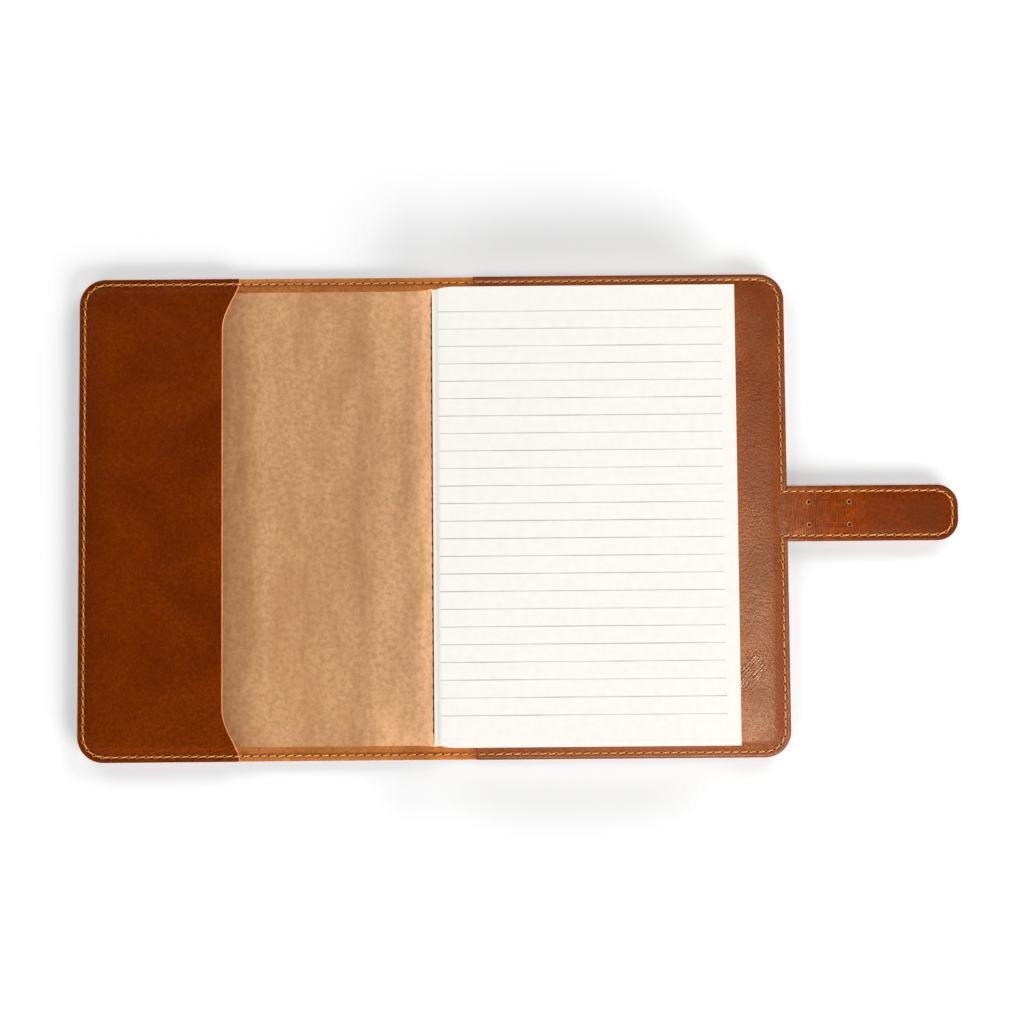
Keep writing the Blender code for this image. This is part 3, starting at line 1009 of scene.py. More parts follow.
@dataclass(frozen=True)
class Paper:
    """Cream writing paper, with printed ruled lines if it is a page."""

    name: str
    colour: Colour
    line: Colour = (0.36, 0.34, 0.31)
    ruled: bool = False
    pitch: float = 8 * MM
    lines: int = 24
    top_margin: float = 11.6 * MM
    from_fold: float = 3.6 * MM
    from_edge: float = 6.4 * MM
    width: float = 0.38 * MM

    def build(self) -> bpy.types.Material:
        """Make the paper's material.

        Returns:
            The material.
        """
        nodes = Nodes(self.name)
        pulp = nodes.ramp(nodes.noise(240, 5, 0.6), 0.3, 0.75, 0.0, 0.8)
        colour = nodes.mix(pulp, self.colour, shaded(self.colour, 0.955))
        if self.ruled:
            colour = nodes.mix(self.ruling(nodes), colour, self.line)
        fibres = nodes.noise(1300, 4, 0.7)
        nodes.gloss(0.18)
        rough = nodes.ramp(fibres, 0.2, 0.8, 0.66, 0.8)
        return nodes.finish(colour, rough, nodes.bump(fibres, 0.012 * MM))

    def ruling(self, nodes: Nodes) -> Socket:
        """The ruled lines, which vary a little in strength as print does.

        Args:
            nodes: The material.

        Returns:
            A mask that is 0 between the lines and round them.
        """
        up = nodes.along("Y")
        half = self.pitch / 2
        first = PLAN.page_half - self.top_margin
        last = first - (self.lines - 1) * self.pitch
        below = nodes.math("SUBTRACT", first + half, up)
        row = nodes.math("MODULO", nodes.math("ADD", below, 10 * self.pitch), self.pitch)
        off = nodes.math("ABSOLUTE", nodes.math("SUBTRACT", row, half))
        mask = nodes.ramp(off, self.width * 0.30, self.width * 0.75, 1.0, 0.0)
        for value, high, low in (
            (up, first + half, last - half),
            (nodes.along("X"), PLAN.page_edge - self.from_edge, self.from_fold),
        ):
            mask = nodes.times(mask, nodes.math("LESS_THAN", value, high))
            mask = nodes.times(mask, nodes.math("GREATER_THAN", value, low))
        strength = nodes.noise(34, 2, 0.5, at=nodes.moved(scale=(1, 3.0, 1)))
        return nodes.times(mask, nodes.ramp(strength, 0.3, 0.7, 0.45, 0.95))


@dataclass(frozen=True)
class Thread:
    """Waxed or linen sewing thread, with its twist."""

    name: str
    pale: Colour
    dark: Colour
    roughness: float = 0.5

    def build(self) -> bpy.types.Material:
        """Make the thread's material.

        Returns:
            The material.
        """
        nodes = Nodes(self.name)
        twist = nodes.bands(650, 1.2, 2.0, nodes.moved(turn=38))
        tone = nodes.ramp(nodes.noise(500, 3, 0.6), 0.3, 0.7)
        colour = nodes.mix(tone, self.pale, self.dark)
        # Painted shade in the grooves of the twist.
        colour = nodes.mix(nodes.ramp(twist, 0.0, 0.35, 0.55, 0.0), colour, shaded(self.dark, 0.5))
        nodes.gloss(0.35)
        rough = nodes.ramp(tone, 0.0, 1.0, self.roughness, self.roughness + 0.15)
        return nodes.finish(colour, rough, nodes.bump(twist, 0.10 * MM))


@dataclass(frozen=True)
class Nickel:
    """Bright nickel plate with fine turning marks and dulled patches."""

    name: str = "plated_nickel"

    def build(self) -> bpy.types.Material:
        """Make the plate's material.

        Returns:
            The material.
        """
        nodes = Nodes(self.name)
        dull = nodes.ramp(nodes.noise(600, 4, 0.6), 0.35, 0.7)
        colour = nodes.mix(dull, (0.58, 0.57, 0.55), (0.42, 0.41, 0.40))
        nodes.shader.inputs["Metallic"].default_value = 1.0
        marks = nodes.noise(2600, 2, 0.5, at=nodes.moved(scale=(1, 0.05, 1)))
        return nodes.finish(colour, nodes.ramp(dull, 0, 1, 0.24, 0.42), nodes.bump(marks, 0.01 * MM))


def flap_leather() -> Leather:
    """The front flap's leather: darker, dull, and marked by faint bends.

    Returns:
        The finish.
    """
    bends = (
        Creases((-122 * MM, -30 * MM), (34 * MM, 18 * MM), 82, 2.2 * MM, 0.10 * MM, 0.12),
        Creases((-148 * MM, -62 * MM), (12 * MM, 52 * MM), 4, 1.4 * MM, 0.09 * MM, 0.12),
        Creases((-112 * MM, 30 * MM), (24 * MM, 34 * MM), 40, 2.6 * MM, 0.06 * MM, 0.08),
    )
    return Leather(
        "flap_leather",
        srgb(106, 38, 1),
        srgb(128, 51, 3),
        roughness=0.44,
        specular=0.05,
        tint=(1.0, 0.6, 0.3),
        grain=0.22 * MM,
        creases=bends,
    )


def inner_leather() -> Leather:
    """The back panel's and strap's leather: glossy, creased where it is handled.

    Returns:
        The finish.
    """
    return Leather(
        "inner_leather",
        srgb(124, 51, 6),
        srgb(147, 66, 11),
        roughness=0.33,
        specular=0.9,
        tint=(1.0, 0.68, 0.42),
        grain=0.055 * MM,
        waves=0.03 * MM,
        index=1.56,
        creases=(
            Creases((143.5 * MM, -73 * MM), (9 * MM, 17 * MM), -40, 1.3 * MM, 0.26 * MM, 0.6),
            Creases((150 * MM, -20 * MM), (14 * MM, 44 * MM), -30, 2.0 * MM, 0.018 * MM, 0.12),
            Creases((180 * MM, 0), (24 * MM, 22 * MM), 3, 1.15 * MM, 0.42 * MM, 0.5),
        ),
        # A darker oval of painted shade over the magnet, near the strap's tip.
        pressed=((PLAN.magnet_x, 0.0), 8 * MM),
        worn_from=(150 * MM, 190 * MM),
        worn_specular=0.15,
        # Painted sheen brightens the strap's root; painted shade darkens it towards the tip, where the
        # sheen falls away.
        tones=(
            ToneShift(154 * MM, 172 * MM, (1.42, 1.25, 0.70)),
            ToneShift(188 * MM, 208 * MM, (0.57, 0.49, 0.40)),
        ),
    )


@dataclass
class Finishes:
    """Every material of the object, made once."""

    made: dict[str, bpy.types.Material] = field(default_factory=dict)

    def __getitem__(self, name: str) -> bpy.types.Material:
        """Give a finish by its name."""
        return self.made[name]

    @classmethod
    def of_cover(cls) -> "Finishes":
        """Make the finishes of the cover and its booklet.

        Returns:
            The finishes.
        """
        kinds = (
            Leather("outer_leather", srgb(108, 42, 6), srgb(132, 56, 10), roughness=0.42, specular=0.30),
            flap_leather(),
            inner_leather(),
            Leather("burnished_edge", srgb(78, 28, 6), srgb(104, 44, 12), roughness=0.5),
            Leather("dark_edge", srgb(30, 14, 8), srgb(52, 24, 12), roughness=0.6),
            Flesh("flesh_side", srgb(214, 136, 68), srgb(186, 108, 46)),
            Flesh("cut_edge", srgb(212, 142, 78), srgb(184, 112, 54), 0.05 * MM),
            Kraft("kraft_card", srgb(210, 160, 115), srgb(184, 131, 88)),
            Paper("plain_paper", srgb(238, 234, 224)),
            Paper("ruled_paper", srgb(240, 237, 230), ruled=True),
            Thread("golden_thread", srgb(248, 172, 84), srgb(220, 136, 50)),
            # Near-black painted shade for the needle holes.
            Thread("needle_hole", srgb(44, 17, 5), srgb(26, 9, 3), 0.8),
            # A paler ring round each needle hole.
            Thread("rubbed_rim", srgb(208, 130, 60), srgb(176, 98, 38), 0.6),
            # Near-black painted shade for the walls of the pen loop's slits and holes.
            Thread("hole_wall", srgb(18, 8, 4), srgb(10, 5, 3), 0.9),
            Thread("linen_thread", srgb(46, 34, 28), srgb(24, 17, 14), 0.7),
            Nickel(),
        )
        return cls({kind.name: kind.build() for kind in kinds})


# ---------------------------------------------------------------- leather pieces


@dataclass(frozen=True)
class Paint:
    """The finishes of a leather piece's top, underside and edges."""

    top: str
    under: str
    edge: str
    mouth: str = ""


HIDE_PAINT = Paint("flesh_side", "outer_leather", "burnished_edge")
LINING_PAINT = Paint("inner_leather", "flesh_side", "burnished_edge", "cut_edge")

# A face counts as a side below this upward share, and beside a pocket's mouth below the next.
SIDE_SLOPE = 0.55
STEEP_TOP = 0.94
FLAP_FOLLOWS = (48 * MM, 9 * MM)
# The insets from a piece's edge, one ring of faces after another.
EDGE_RINGS = tuple(step * MM for step in (0.9, 0.9, 0.8, 0.8, 1.2, 1.4, 2.0))


@dataclass
class LeatherPiece:
    """One flat leather piece, from its outline to its rounded, sewn edges.

    The outline is a rectangle with some corners rounded and, on the flap, one side swept. Insets
    give it rings along its edges, cuts give it rows where it bends, and its heights are then set.
    """

    name: str
    low_x: float
    high_x: float
    half_height: float
    top: Height
    under: Height
    corner: float = 0.0
    round_low: bool = False
    round_high: bool = False
    swept: bool = False
    seams: tuple[Point, ...] = ()
    rows_x: tuple[float, ...] = ()
    rows_y: tuple[float, ...] = ()
    rings: tuple[float, ...] = EDGE_RINGS
    edge_round: float = 0.42 * MM

    def outline(self) -> Piece:
        """Add the flat piece with its outline.

        Returns:
            The piece, one face thick.
        """
        middle_x = (self.low_x + self.high_x) / 2
        deselect()
        bpy.ops.mesh.primitive_plane_add(size=1, location=(middle_x, 0, 0))
        bpy.ops.transform.resize(value=(self.high_x - self.low_x, 2 * self.half_height, 1))
        piece = added(self.name)
        if self.round_low or self.round_high:
            rounded = [self.low_x] * self.round_low + [self.high_x] * self.round_high
            select_parts(piece, verts=lambda vert: any(abs(vert.co.x - x) < MM for x in rounded))
            bpy.ops.mesh.bevel(offset=self.corner, segments=CORNER_STEPS, affect="VERTICES")
            object_mode()
        return piece

    def sweep(self, piece: Piece) -> None:
        """Draw the flap's free edge back between its ends, with the leather behind it following.

        Args:
            piece: The flat piece.
        """
        start, end = (self.high_x - reach for reach in FLAP_FOLLOWS)
        for vert in piece.data.vertices:
            share = smooth(vert.co.x, start, end)
            vert.co.x += (PLAN.flap_x(vert.co.y) - self.high_x) * share

    def add_rings(self, piece: Piece) -> None:
        """Inset the outline so that the edge, seam and rim each have their own ring.

        Args:
            piece: The flat piece.
        """
        pick(piece)
        bpy.ops.object.mode_set(mode="EDIT")
        bpy.ops.mesh.select_all(action="SELECT")
        for ring in self.rings:
            bpy.ops.mesh.inset(thickness=ring, depth=0)
        object_mode()

    def on_seam(self, middle: Vector) -> bool:
        """Whether an edge lies where this piece meets the next stretch of the same hide."""
        return any(abs(middle.x - x) < NEAR and abs(middle.y) < reach for x, reach in self.seams)

    def build(self, finishes: Finishes, paint: Paint) -> Piece:
        """Make the piece.

        Args:
            finishes: The object's finishes.
            paint: Which finish goes on which side.

        Returns:
            The finished piece, at rest in its place.
        """
        piece = self.outline()
        self.add_rings(piece)
        bisect(piece, 0, self.rows_x)
        bisect(piece, 1, self.rows_y)
        if self.swept:
            self.sweep(piece)
        thicken(piece, 1 * MM)
        for vert in piece.data.vertices:
            height = self.top if vert.co.z > -0.5 * MM else self.under
            vert.co.z = height(vert.co.x, vert.co.y)
        round_edges(piece, self.edge_round, self.on_seam)
        self.paint(piece, finishes, paint)
        soften(piece, 50)
        return piece

    def mouth_x(self, y: float) -> float:
        """Where the piece's free edge is, if it is a pocket.

        Args:
            y: The place along that edge.

        Returns:
            The edge's place.
        """
        if self.swept:
            return PLAN.flap_x(y)
        return self.low_x if self.round_high else self.high_x

    def on_face(self, middle: Vector) -> bool:
        """Whether a place is away from the piece's free edge."""
        return abs(middle.x - self.mouth_x(middle.y)) > self.edge_round

    def paint(self, piece: Piece, finishes: Finishes, paint: Paint) -> None:
        """Give each face its side's finish, and store each point's distance from the edge.

        Args:
            piece: The piece.
            finishes: The object's finishes.
            paint: Which finish goes on which side.
        """
        for name in (paint.top, paint.under, paint.edge, paint.mouth or paint.edge):
            piece.data.materials.append(finishes[name])
        for polygon in piece.data.polygons:
            middle = polygon.center
            inside = PLAN.edge(middle.x, middle.y)
            at_mouth = inside > 4 * MM or abs(middle.x - self.mouth_x(middle.y)) < 1 * MM
            least = STEEP_TOP if at_mouth and not self.on_face(middle) else SIDE_SLOPE
            if polygon.normal.z > least:
                polygon.material_index = 0
            elif polygon.normal.z < -SIDE_SLOPE:
                polygon.material_index = 1
            else:
                polygon.material_index = 3 if at_mouth else 2
        store_edge_distance(piece, lambda x, y: max(0.0, PLAN.edge(x, y)))


def store_edge_distance(piece: Piece, distance: Height) -> None:
    """Store on each point how far it is from the edge, which the leather's finish reads.

    Args:
        piece: The piece.
        distance: Gives the distance at each place.
    """
    stored = piece.data.attributes.new("edge_distance", "FLOAT", "POINT")
    for vert in piece.data.vertices:
        stored.data[vert.index].value = distance(vert.co.x, vert.co.y)


def swell(x: float, y: float) -> float:
    """The slow rise and fall of a hide that isn't quite flat.

    Args:
        x: The place across the cover.
        y: The place from tail to head.

    Returns:
        A share from -1 to 1.
    """
    slow = math.sin(x * 52 + 1.3) * math.cos(y * 41 - 0.6)
    quick = math.sin(x * 96 - y * 63 + 0.8)
    return 0.65 * slow + 0.35 * quick


def flat_top(x: float, y: float) -> float:
    """The flesh side of the outer leather."""
    return PLAN.leather - 0.12 * MM * PLAN.channel(x, y)


def sewn_under(x: float, y: float) -> float:
    """The outer face of the outer leather, drawn in along the seam."""
    return 0.50 * MM * PLAN.channel(x, y) + 0.12 * MM * bell(PLAN.edge(x, y), 0, 1.0 * MM)


def pocket_top(lid: float) -> Height:
    """The top of a pocket: a low sewn rim, and a lid that stands over the room inside.

    Args:
        lid: The lid's height.

    Returns:
        The height at each place.
    """
    climb = lid - LID_DROP - PLAN.rim_top

    def height(x: float, y: float) -> float:
        """The top's height at a place."""
        rise = smooth(PLAN.cover_edge(x, y), PLAN.rim, PLAN.lid_from)
        return PLAN.rim_top + climb * rise + 0.10 * MM * swell(x, y) * rise - PLAN.press(x, y)

    return height


def pocket_under(lid: float) -> Height:
    """The underside of a pocket: on the outer leather at the rim, and clear of it inside.

    Args:
        lid: The lid's height.

    Returns:
        The height at each place.
    """
    climb = lid - LID_DROP - LID_THICKNESS - LINING_BOTTOM

    def height(x: float, y: float) -> float:
        """The underside's height at a place."""
        rise = smooth(PLAN.cover_edge(x, y), 5.2 * MM, PLAN.lid_from)
        return LINING_BOTTOM + climb * rise + 0.10 * MM * swell(x, y) * rise

    return height


def strap_top(x: float, y: float) -> float:
    """The top of the strap, with a faint round mark over its magnet.

    Args:
        x: The place along the strap.
        y: The place across it.

    Returns:
        The height there.
    """
    mark = 1 - smooth(math.hypot(x - PLAN.magnet_x, y), 6.0 * MM, 8.0 * MM)
    pad = smooth(PLAN.strap_edge(x, y), 3.4 * MM, 7.5 * MM) * smooth(x, PLAN.half_width, BRIDGE_MIDDLE)
    return PLAN.rim_top + 0.16 * MM * pad - 0.10 * MM * mark - PLAN.press(x, y)


def lining_under(x: float, y: float) -> float:
    """The underside of the strap's lining, on the outer leather."""
    return LINING_BOTTOM


def cross_rows(step: float) -> tuple[float, ...]:
    """Rows across the cover's height, evenly spaced."""
    count = int(PLAN.half_height / step)
    return tuple(index * step for index in range(-count, count + 1))


def ring_rows(half_height: float) -> tuple[float, ...]:
    """Rows that carry the seam's groove right up to a piece's ends."""
    insets = (0.9, 1.8, 2.6, 3.4, 4.6)
    return tuple(side * (half_height - inset * MM) for side in (-1, 1) for inset in insets)


def fold_rows(middle: float) -> list[float]:
    """Rows close together where the leather bends, from just outside the bend to just past it."""
    reach = FOLD_REACH * 1.15
    return [middle - reach + 2 * reach * step / FOLD_STEPS for step in range(FOLD_STEPS + 1)]


def even_rows(low: float, high: float, step: float) -> list[float]:
    """Rows between two places, evenly spaced."""
    count = max(1, round((high - low) / step))
    return [low + (high - low) * (index + 0.5) / count for index in range(count)]


@dataclass
class PenSlits:
    """The two slits of the pen loop, each with a punched hole at its ends."""

    from_edge: float = 9.9 * MM
    length: float = 18.6 * MM
    half_spacing: float = 5.25 * MM
    hole: float = 0.80 * MM
    half_width: float = 0.06 * MM
    flank_half: float = 0.22 * MM
    foot_half: float = 0.02 * MM
    through: float = 12 * MM
    punch_depth: float = 4.2 * MM
    punch_middle: float = 1.5 * MM

    def block(self, name: str, middle: tuple, width: float, depth: float) -> Piece:
        """Make a block as long as a slit, to cut with.

        Args:
            name: Its name.
            middle: Its middle.
            width: Its size across the slit.
            depth: Its size through the leather.

        Returns:
            The block.
        """
        deselect()
        bpy.ops.mesh.primitive_cube_add(size=1, location=middle)
        bpy.ops.transform.resize(value=(self.length, width, depth))
        return added(name)

    def cone(self, name: str, sides: int, foot: float, head: float, depth: float, middle: tuple) -> Piece:
        """Make a cone that widens upwards, to punch with.

        Args:
            name: Its name.
            sides: How many sides it has.
            foot: Its radius at the bottom.
            head: Its radius at the top.
            depth: Its height.
            middle: Its middle.

        Returns:
            The cone.
        """
        deselect()
        bpy.ops.mesh.primitive_cone_add(
            vertices=sides, radius1=foot, radius2=head, depth=depth, location=middle
        )
        return added(name)

    def cutters(self, y: float) -> list[tuple[Piece, str]]:
        """Make one slit's cutters, in the order in which they cut.

        Args:
            y: Where the slit is.

        Returns:
            Each cutter, with the finish of the faces that it leaves.
        """
        first = PLAN.half_width + self.from_edge
        middle_x = first + self.length / 2
        flanks = self.block("pen_slit_flanks", (middle_x, y, PLAN.rim_top + 0.13 * MM), 1 * MM, 0.8 * MM)
        for vert in flanks.data.vertices:
            half = self.flank_half if vert.co.z > PLAN.rim_top else self.foot_half
            vert.co.y = y + math.copysign(half, vert.co.y - y)
        slit = self.block("pen_slit", (middle_x, y, 0), 2 * self.half_width, self.through)
        # The slits' and holes' walls are painted near-black, as shade.
        made = [(flanks, "cut_edge"), (slit, "hole_wall")]
        wide = self.hole * 2.5
        for x in (first, first + self.length):
            rim = self.cone("pen_hole_rim", 20, 0, wide, wide, (x, y, PLAN.rim_top + 0.02 * MM))
            foot, head = self.hole * 0.35, self.hole * 1.08
            wall = self.cone("pen_hole", 22, foot, head, self.punch_depth, (x, y, self.punch_middle))
            made += [(rim, "cut_edge"), (wall, "hole_wall")]
        return made

    def cut(self, piece: Piece, finishes: Finishes) -> None:
        """Cut the slits and holes through one layer of the strap.

        Args:
            piece: The layer.
            finishes: The object's finishes.
        """
        for side in (-1, 1):
            for cutter, finish in self.cutters(side * self.half_spacing):
                cutter.data.materials.append(finishes[finish])
                settings = {"operation": "DIFFERENCE", "solver": "EXACT", "object": cutter}
                apply_modifier(piece, "BOOLEAN", **settings, material_mode="TRANSFER")
                bpy.data.objects.remove(cutter)


@dataclass
class OuterHide:
    """The outer hide's front cover, spine and back cover."""

    finishes: Finishes

    def build(self) -> None:
        """Make the hide's two halves, which meet in the spine, each with close rows where it crosses one
        fold.
        """
        cross = cross_rows(9 * MM) + ring_rows(PLAN.half_height)
        front = LeatherPiece(
            "front_hide",
            -PLAN.half_width,
            0.0,
            PLAN.half_height,
            flat_top,
            sewn_under,
            corner=PLAN.corner,
            round_low=True,
            seams=((0.0, math.inf),),
            rows_x=tuple(fold_rows(-PLAN.half_spine) + even_rows(-150 * MM, -12 * MM, 9 * MM)),
            rows_y=cross,
        )
        back = LeatherPiece(
            "back_hide",
            0.0,
            PLAN.half_width,
            PLAN.half_height,
            flat_top,
            sewn_under,
            corner=PLAN.corner,
            round_high=True,
            seams=((0.0, math.inf), STRAP_SEAM),
            rows_x=tuple(fold_rows(PLAN.half_spine) + even_rows(12 * MM, 150 * MM, 9 * MM)),
            rows_y=cross + (-PLAN.strap_half, PLAN.strap_half),
        )
        for shape, nodes, bend in (
            (front, ("front_outer_leather", "spine_leather"), FRONT_BEND),
            (back, ("back_outer_leather",), BACK_BEND),
        ):
            piece = shape.build(self.finishes, HIDE_PAINT)
            bend.apply(piece)
            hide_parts(*nodes)


@dataclass
class StrapLayers:
    """The strap's two layers, each made in two stretches."""

    finishes: Finishes
    slits: PenSlits = field(default_factory=PenSlits)

    def stretch(self, name: str, outer: bool, tip: bool) -> Piece:
        """Make one stretch of one layer.

        Args:
            name: The stretch's name.
            outer: Whether it belongs to the outer hide, or to the lining.
            tip: Whether it is the far stretch, with the tip and the pen loop.

        Returns:
            The stretch.
        """
        low, high = (BRIDGE_MIDDLE, PLAN.strap_end) if tip else (PLAN.half_width, BRIDGE_MIDDLE)
        rows = fold_rows(PLAN.tongue_fold) if tip else even_rows(low, high, 0.7 * MM)
        rows += even_rows(high - 55 * MM, high - 4 * MM, 5 * MM) if tip else []
        across = tuple(even_rows(-PLAN.strap_half, PLAN.strap_half, 2.4 * MM))
        ends = (low,) if tip else (low, high)
        shape = LeatherPiece(
            name,
            low,
            high,
            PLAN.strap_half,
            flat_top if outer else strap_top,
            sewn_under if outer else lining_under,
            corner=PLAN.strap_tip,
            round_high=tip,
            seams=tuple((end, math.inf) for end in ends),
            rows_x=tuple(rows),
            rows_y=across + ring_rows(PLAN.strap_half),
            rings=EDGE_RINGS[:5] if tip else EDGE_RINGS[:4],
        )
        piece = shape.build(self.finishes, HIDE_PAINT if outer else LINING_PAINT)
        if tip:
            # The slits' walls are long faces, so they need the fold's rows as well.
            self.slits.cut(piece, self.finishes)
            bisect(piece, 0, rows)
        (TONGUE_BEND if tip else ROOT_BEND).apply(piece)
        return piece

    def build(self) -> None:
        """Make all four stretches."""
        for outer, layer in ((True, "outer"), (False, "lining")):
            for tip, end, node in ((False, "root", "bridge"), (True, "tongue", "tongue")):
                piece = self.stretch(f"strap_{layer}_{end}", outer, tip)
                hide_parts(f"strap_{node}_{layer}")


@dataclass
class Pockets:
    """The flap pocket of the front cover and the pocket panel of the back cover."""

    finishes: Finishes

    def build(self) -> None:
        """Make both pockets."""
        cross = cross_rows(5 * MM)
        sweep = tuple(side * (84 + 2 * step) * MM for side in (-1, 1) for step in range(13))
        flap = LeatherPiece(
            "front_flap",
            -PLAN.half_width,
            PLAN.flap_edge_head,
            PLAN.half_height,
            pocket_top(PLAN.front_lid),
            pocket_under(PLAN.front_lid),
            corner=PLAN.corner,
            round_low=True,
            swept=True,
            rows_x=tuple(even_rows(-150 * MM, -102 * MM, 4 * MM)),
            rows_y=cross + sweep,
        )
        panel = LeatherPiece(
            "back_panel",
            PLAN.panel_edge,
            PLAN.half_width,
            PLAN.half_height,
            pocket_top(PLAN.back_lid),
            pocket_under(PLAN.back_lid),
            corner=PLAN.corner,
            round_high=True,
            seams=(STRAP_SEAM,),
            rows_x=tuple(even_rows(30 * MM, 150 * MM, 6 * MM)),
            rows_y=cross + ring_rows(PLAN.half_height) + (-PLAN.strap_half, PLAN.strap_half),
        )
        for shape, node, body, top, mouth in (
            (flap, "front_pocket_flap", "front_cover", "flap_leather", "cut_edge"),
            (panel, "back_pocket_panel", "back_cover", "inner_leather", "dark_edge"),
        ):
            piece = shape.build(self.finishes, Paint(top, "flesh_side", "burnished_edge", mouth))
            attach(piece, body)
            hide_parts(node)


# ---------------------------------------------------------------- stitches


def along_path(path: list[Point], pitch: float) -> list[tuple[Point, float, float]]:
    """Space stitches evenly along a path.

    Args:
        path: The path's points.
        pitch: The wanted length of a stitch, which is adjusted to fit the path.

    Returns:
        Each stitch's middle, its direction as an angle, and its length.
    """
    lengths = [math.dist(path[i], path[i + 1]) for i in range(len(path) - 1)]
    total = sum(lengths)
    count = max(1, round(total / pitch))
    step = total / count

    def point(distance: float) -> Point:
        """The point at a distance along the path.

        Args:
            distance: The distance from the path's start.

        Returns:
            The point.
        """
        for index, length in enumerate(lengths):
            if distance <= length or index == len(lengths) - 1:
                share = distance / length
                first, last = path[index], path[index + 1]
                return (first[0] + (last[0] - first[0]) * share, first[1] + (last[1] - first[1]) * share)
            distance -= length
        return path[-1]

    stitches = []
    for index in range(count):
        first = point(index * step)
        last = point((index + 1) * step)
        middle = ((first[0] + last[0]) / 2, (first[1] + last[1]) / 2)
        angle = math.atan2(last[1] - first[1], last[0] - first[0])
        stitches.append((middle, angle, math.dist(first, last)))
    return stitches


@dataclass
class Stitching:
    """Lock stitches: a thread that humps over each stitch and dives into its needle holes."""

    finishes: Finishes
    pitch: float = 4.0 * MM
    radius: float = 0.31 * MM
    slant: float = 8.0
    lift: float = 0.16 * MM
    hole: float = 0.64 * MM
    hole_depth: float = 0.36 * MM
    hole_lift: float = 0.10 * MM
    gap: float = 0.22 * MM

    def one_stitch(self) -> Piece:
        """Model one stitch along X, a short thread that thins and sinks at its ends.

        Returns:
            The stitch, 2 long and 2 wide.
        """
        deselect()
        bpy.ops.mesh.primitive_cylinder_add(
            vertices=7, radius=1, depth=2, end_fill_type="NGON", rotation=(0, math.radians(90), 0)
        )
        stitch = added("stitch")
        bisect(stitch, 0, (-0.78, -0.4, 0.0, 0.4, 0.78))
        for vert in stitch.data.vertices:
            share = abs(vert.co.x)
            thin = math.sqrt(max(0.0, 1 - share**3.2)) * 0.80 + 0.20
            vert.co.y *= thin
            vert.co.z = vert.co.z * thin - 0.95 * share**2.6
        soften(stitch, 80)
        stitch.data.materials.append(self.finishes["golden_thread"])
        return stitch

    def one_hole(self) -> Piece:
        """Model one needle hole: a dark disc of painted shade in the hole, and the leather that stands up
        round it.

        Returns:
            The hole, about 1 in radius.
        """
        deselect()
        bpy.ops.mesh.primitive_torus_add(
            major_segments=9, minor_segments=4, major_radius=1.1, minor_radius=0.42
        )
        rim = added("hole_rim")
        rim.data.materials.append(self.finishes["rubbed_rim"])
        deselect()
        # Painted shade: a near-black disc stands in for the shadow down the hole.
        bpy.ops.mesh.primitive_cylinder_add(vertices=8, radius=0.62, depth=0.3)
        dimple = added("hole_dimple")
        dimple.data.materials.append(self.finishes["needle_hole"])
        hole = join("needle_hole", [rim, dimple])
        soften(hole, 80)
        return hole

    def run(self, name: str, path: list[Point], height: Height, face: int, closed_end: bool) -> Piece:
        """Sew one run of stitches with its needle holes.

        Args:
            name: The run's name.
            path: The path's points.
            height: The height of the leather's face.
            face: 1 on an upper face, -1 on an underside.
            closed_end: Whether a last needle hole closes the run.

        Returns:
            The whole run as one piece.
        """
        stitch = self.one_stitch()
        hole = self.one_hole()
        slant = math.radians(self.slant) * face
        placed = along_path(path, self.pitch)
        copies = []
        for index, ((x, y), angle, length) in enumerate(placed):
            size = (length / 2 - self.gap, self.radius, self.radius * face)
            place = (x, y, height(x, y) + face * self.lift)
            copies.append(copy_at(stitch, place, angle + slant, size))
            for end in (-1, 1) if closed_end and index == len(placed) - 1 else (-1,):
                hole_x = x + end * math.cos(angle) * length / 2
                hole_y = y + end * math.sin(angle) * length / 2
                place = (hole_x, hole_y, height(hole_x, hole_y) + face * self.hole_lift)
                copies.append(copy_at(hole, place, angle, (self.hole, self.hole, self.hole_depth)))
        for model in (stitch, hole):
            bpy.data.objects.remove(model)
        sewn = join_copies(name, copies)
        if face < 0:
            select_parts(sewn, verts=lambda vert: True)
            bpy.ops.mesh.normals_make_consistent(inside=False)
            object_mode()
        return sewn


def corner_arc(centre: Point, radius: float, turn: float) -> list[Point]:
    """A quarter turn round a corner, from its head side.

    Args:
        centre: The corner's centre.
        radius: The arc's radius.
        turn: How far it turns in degrees, clockwise.

    Returns:
        The arc's points.
    """
    points = []
    for step in range(CORNER_STEPS + 1):
        angle = math.radians(90 - turn * step / CORNER_STEPS)
        points.append((centre[0] + radius * math.cos(angle), centre[1] + radius * math.sin(angle)))
    return points


def mirrored(path: list[Point]) -> list[Point]:
    """The same path on the tail side."""
    return [(x, -y) for x, y in path]


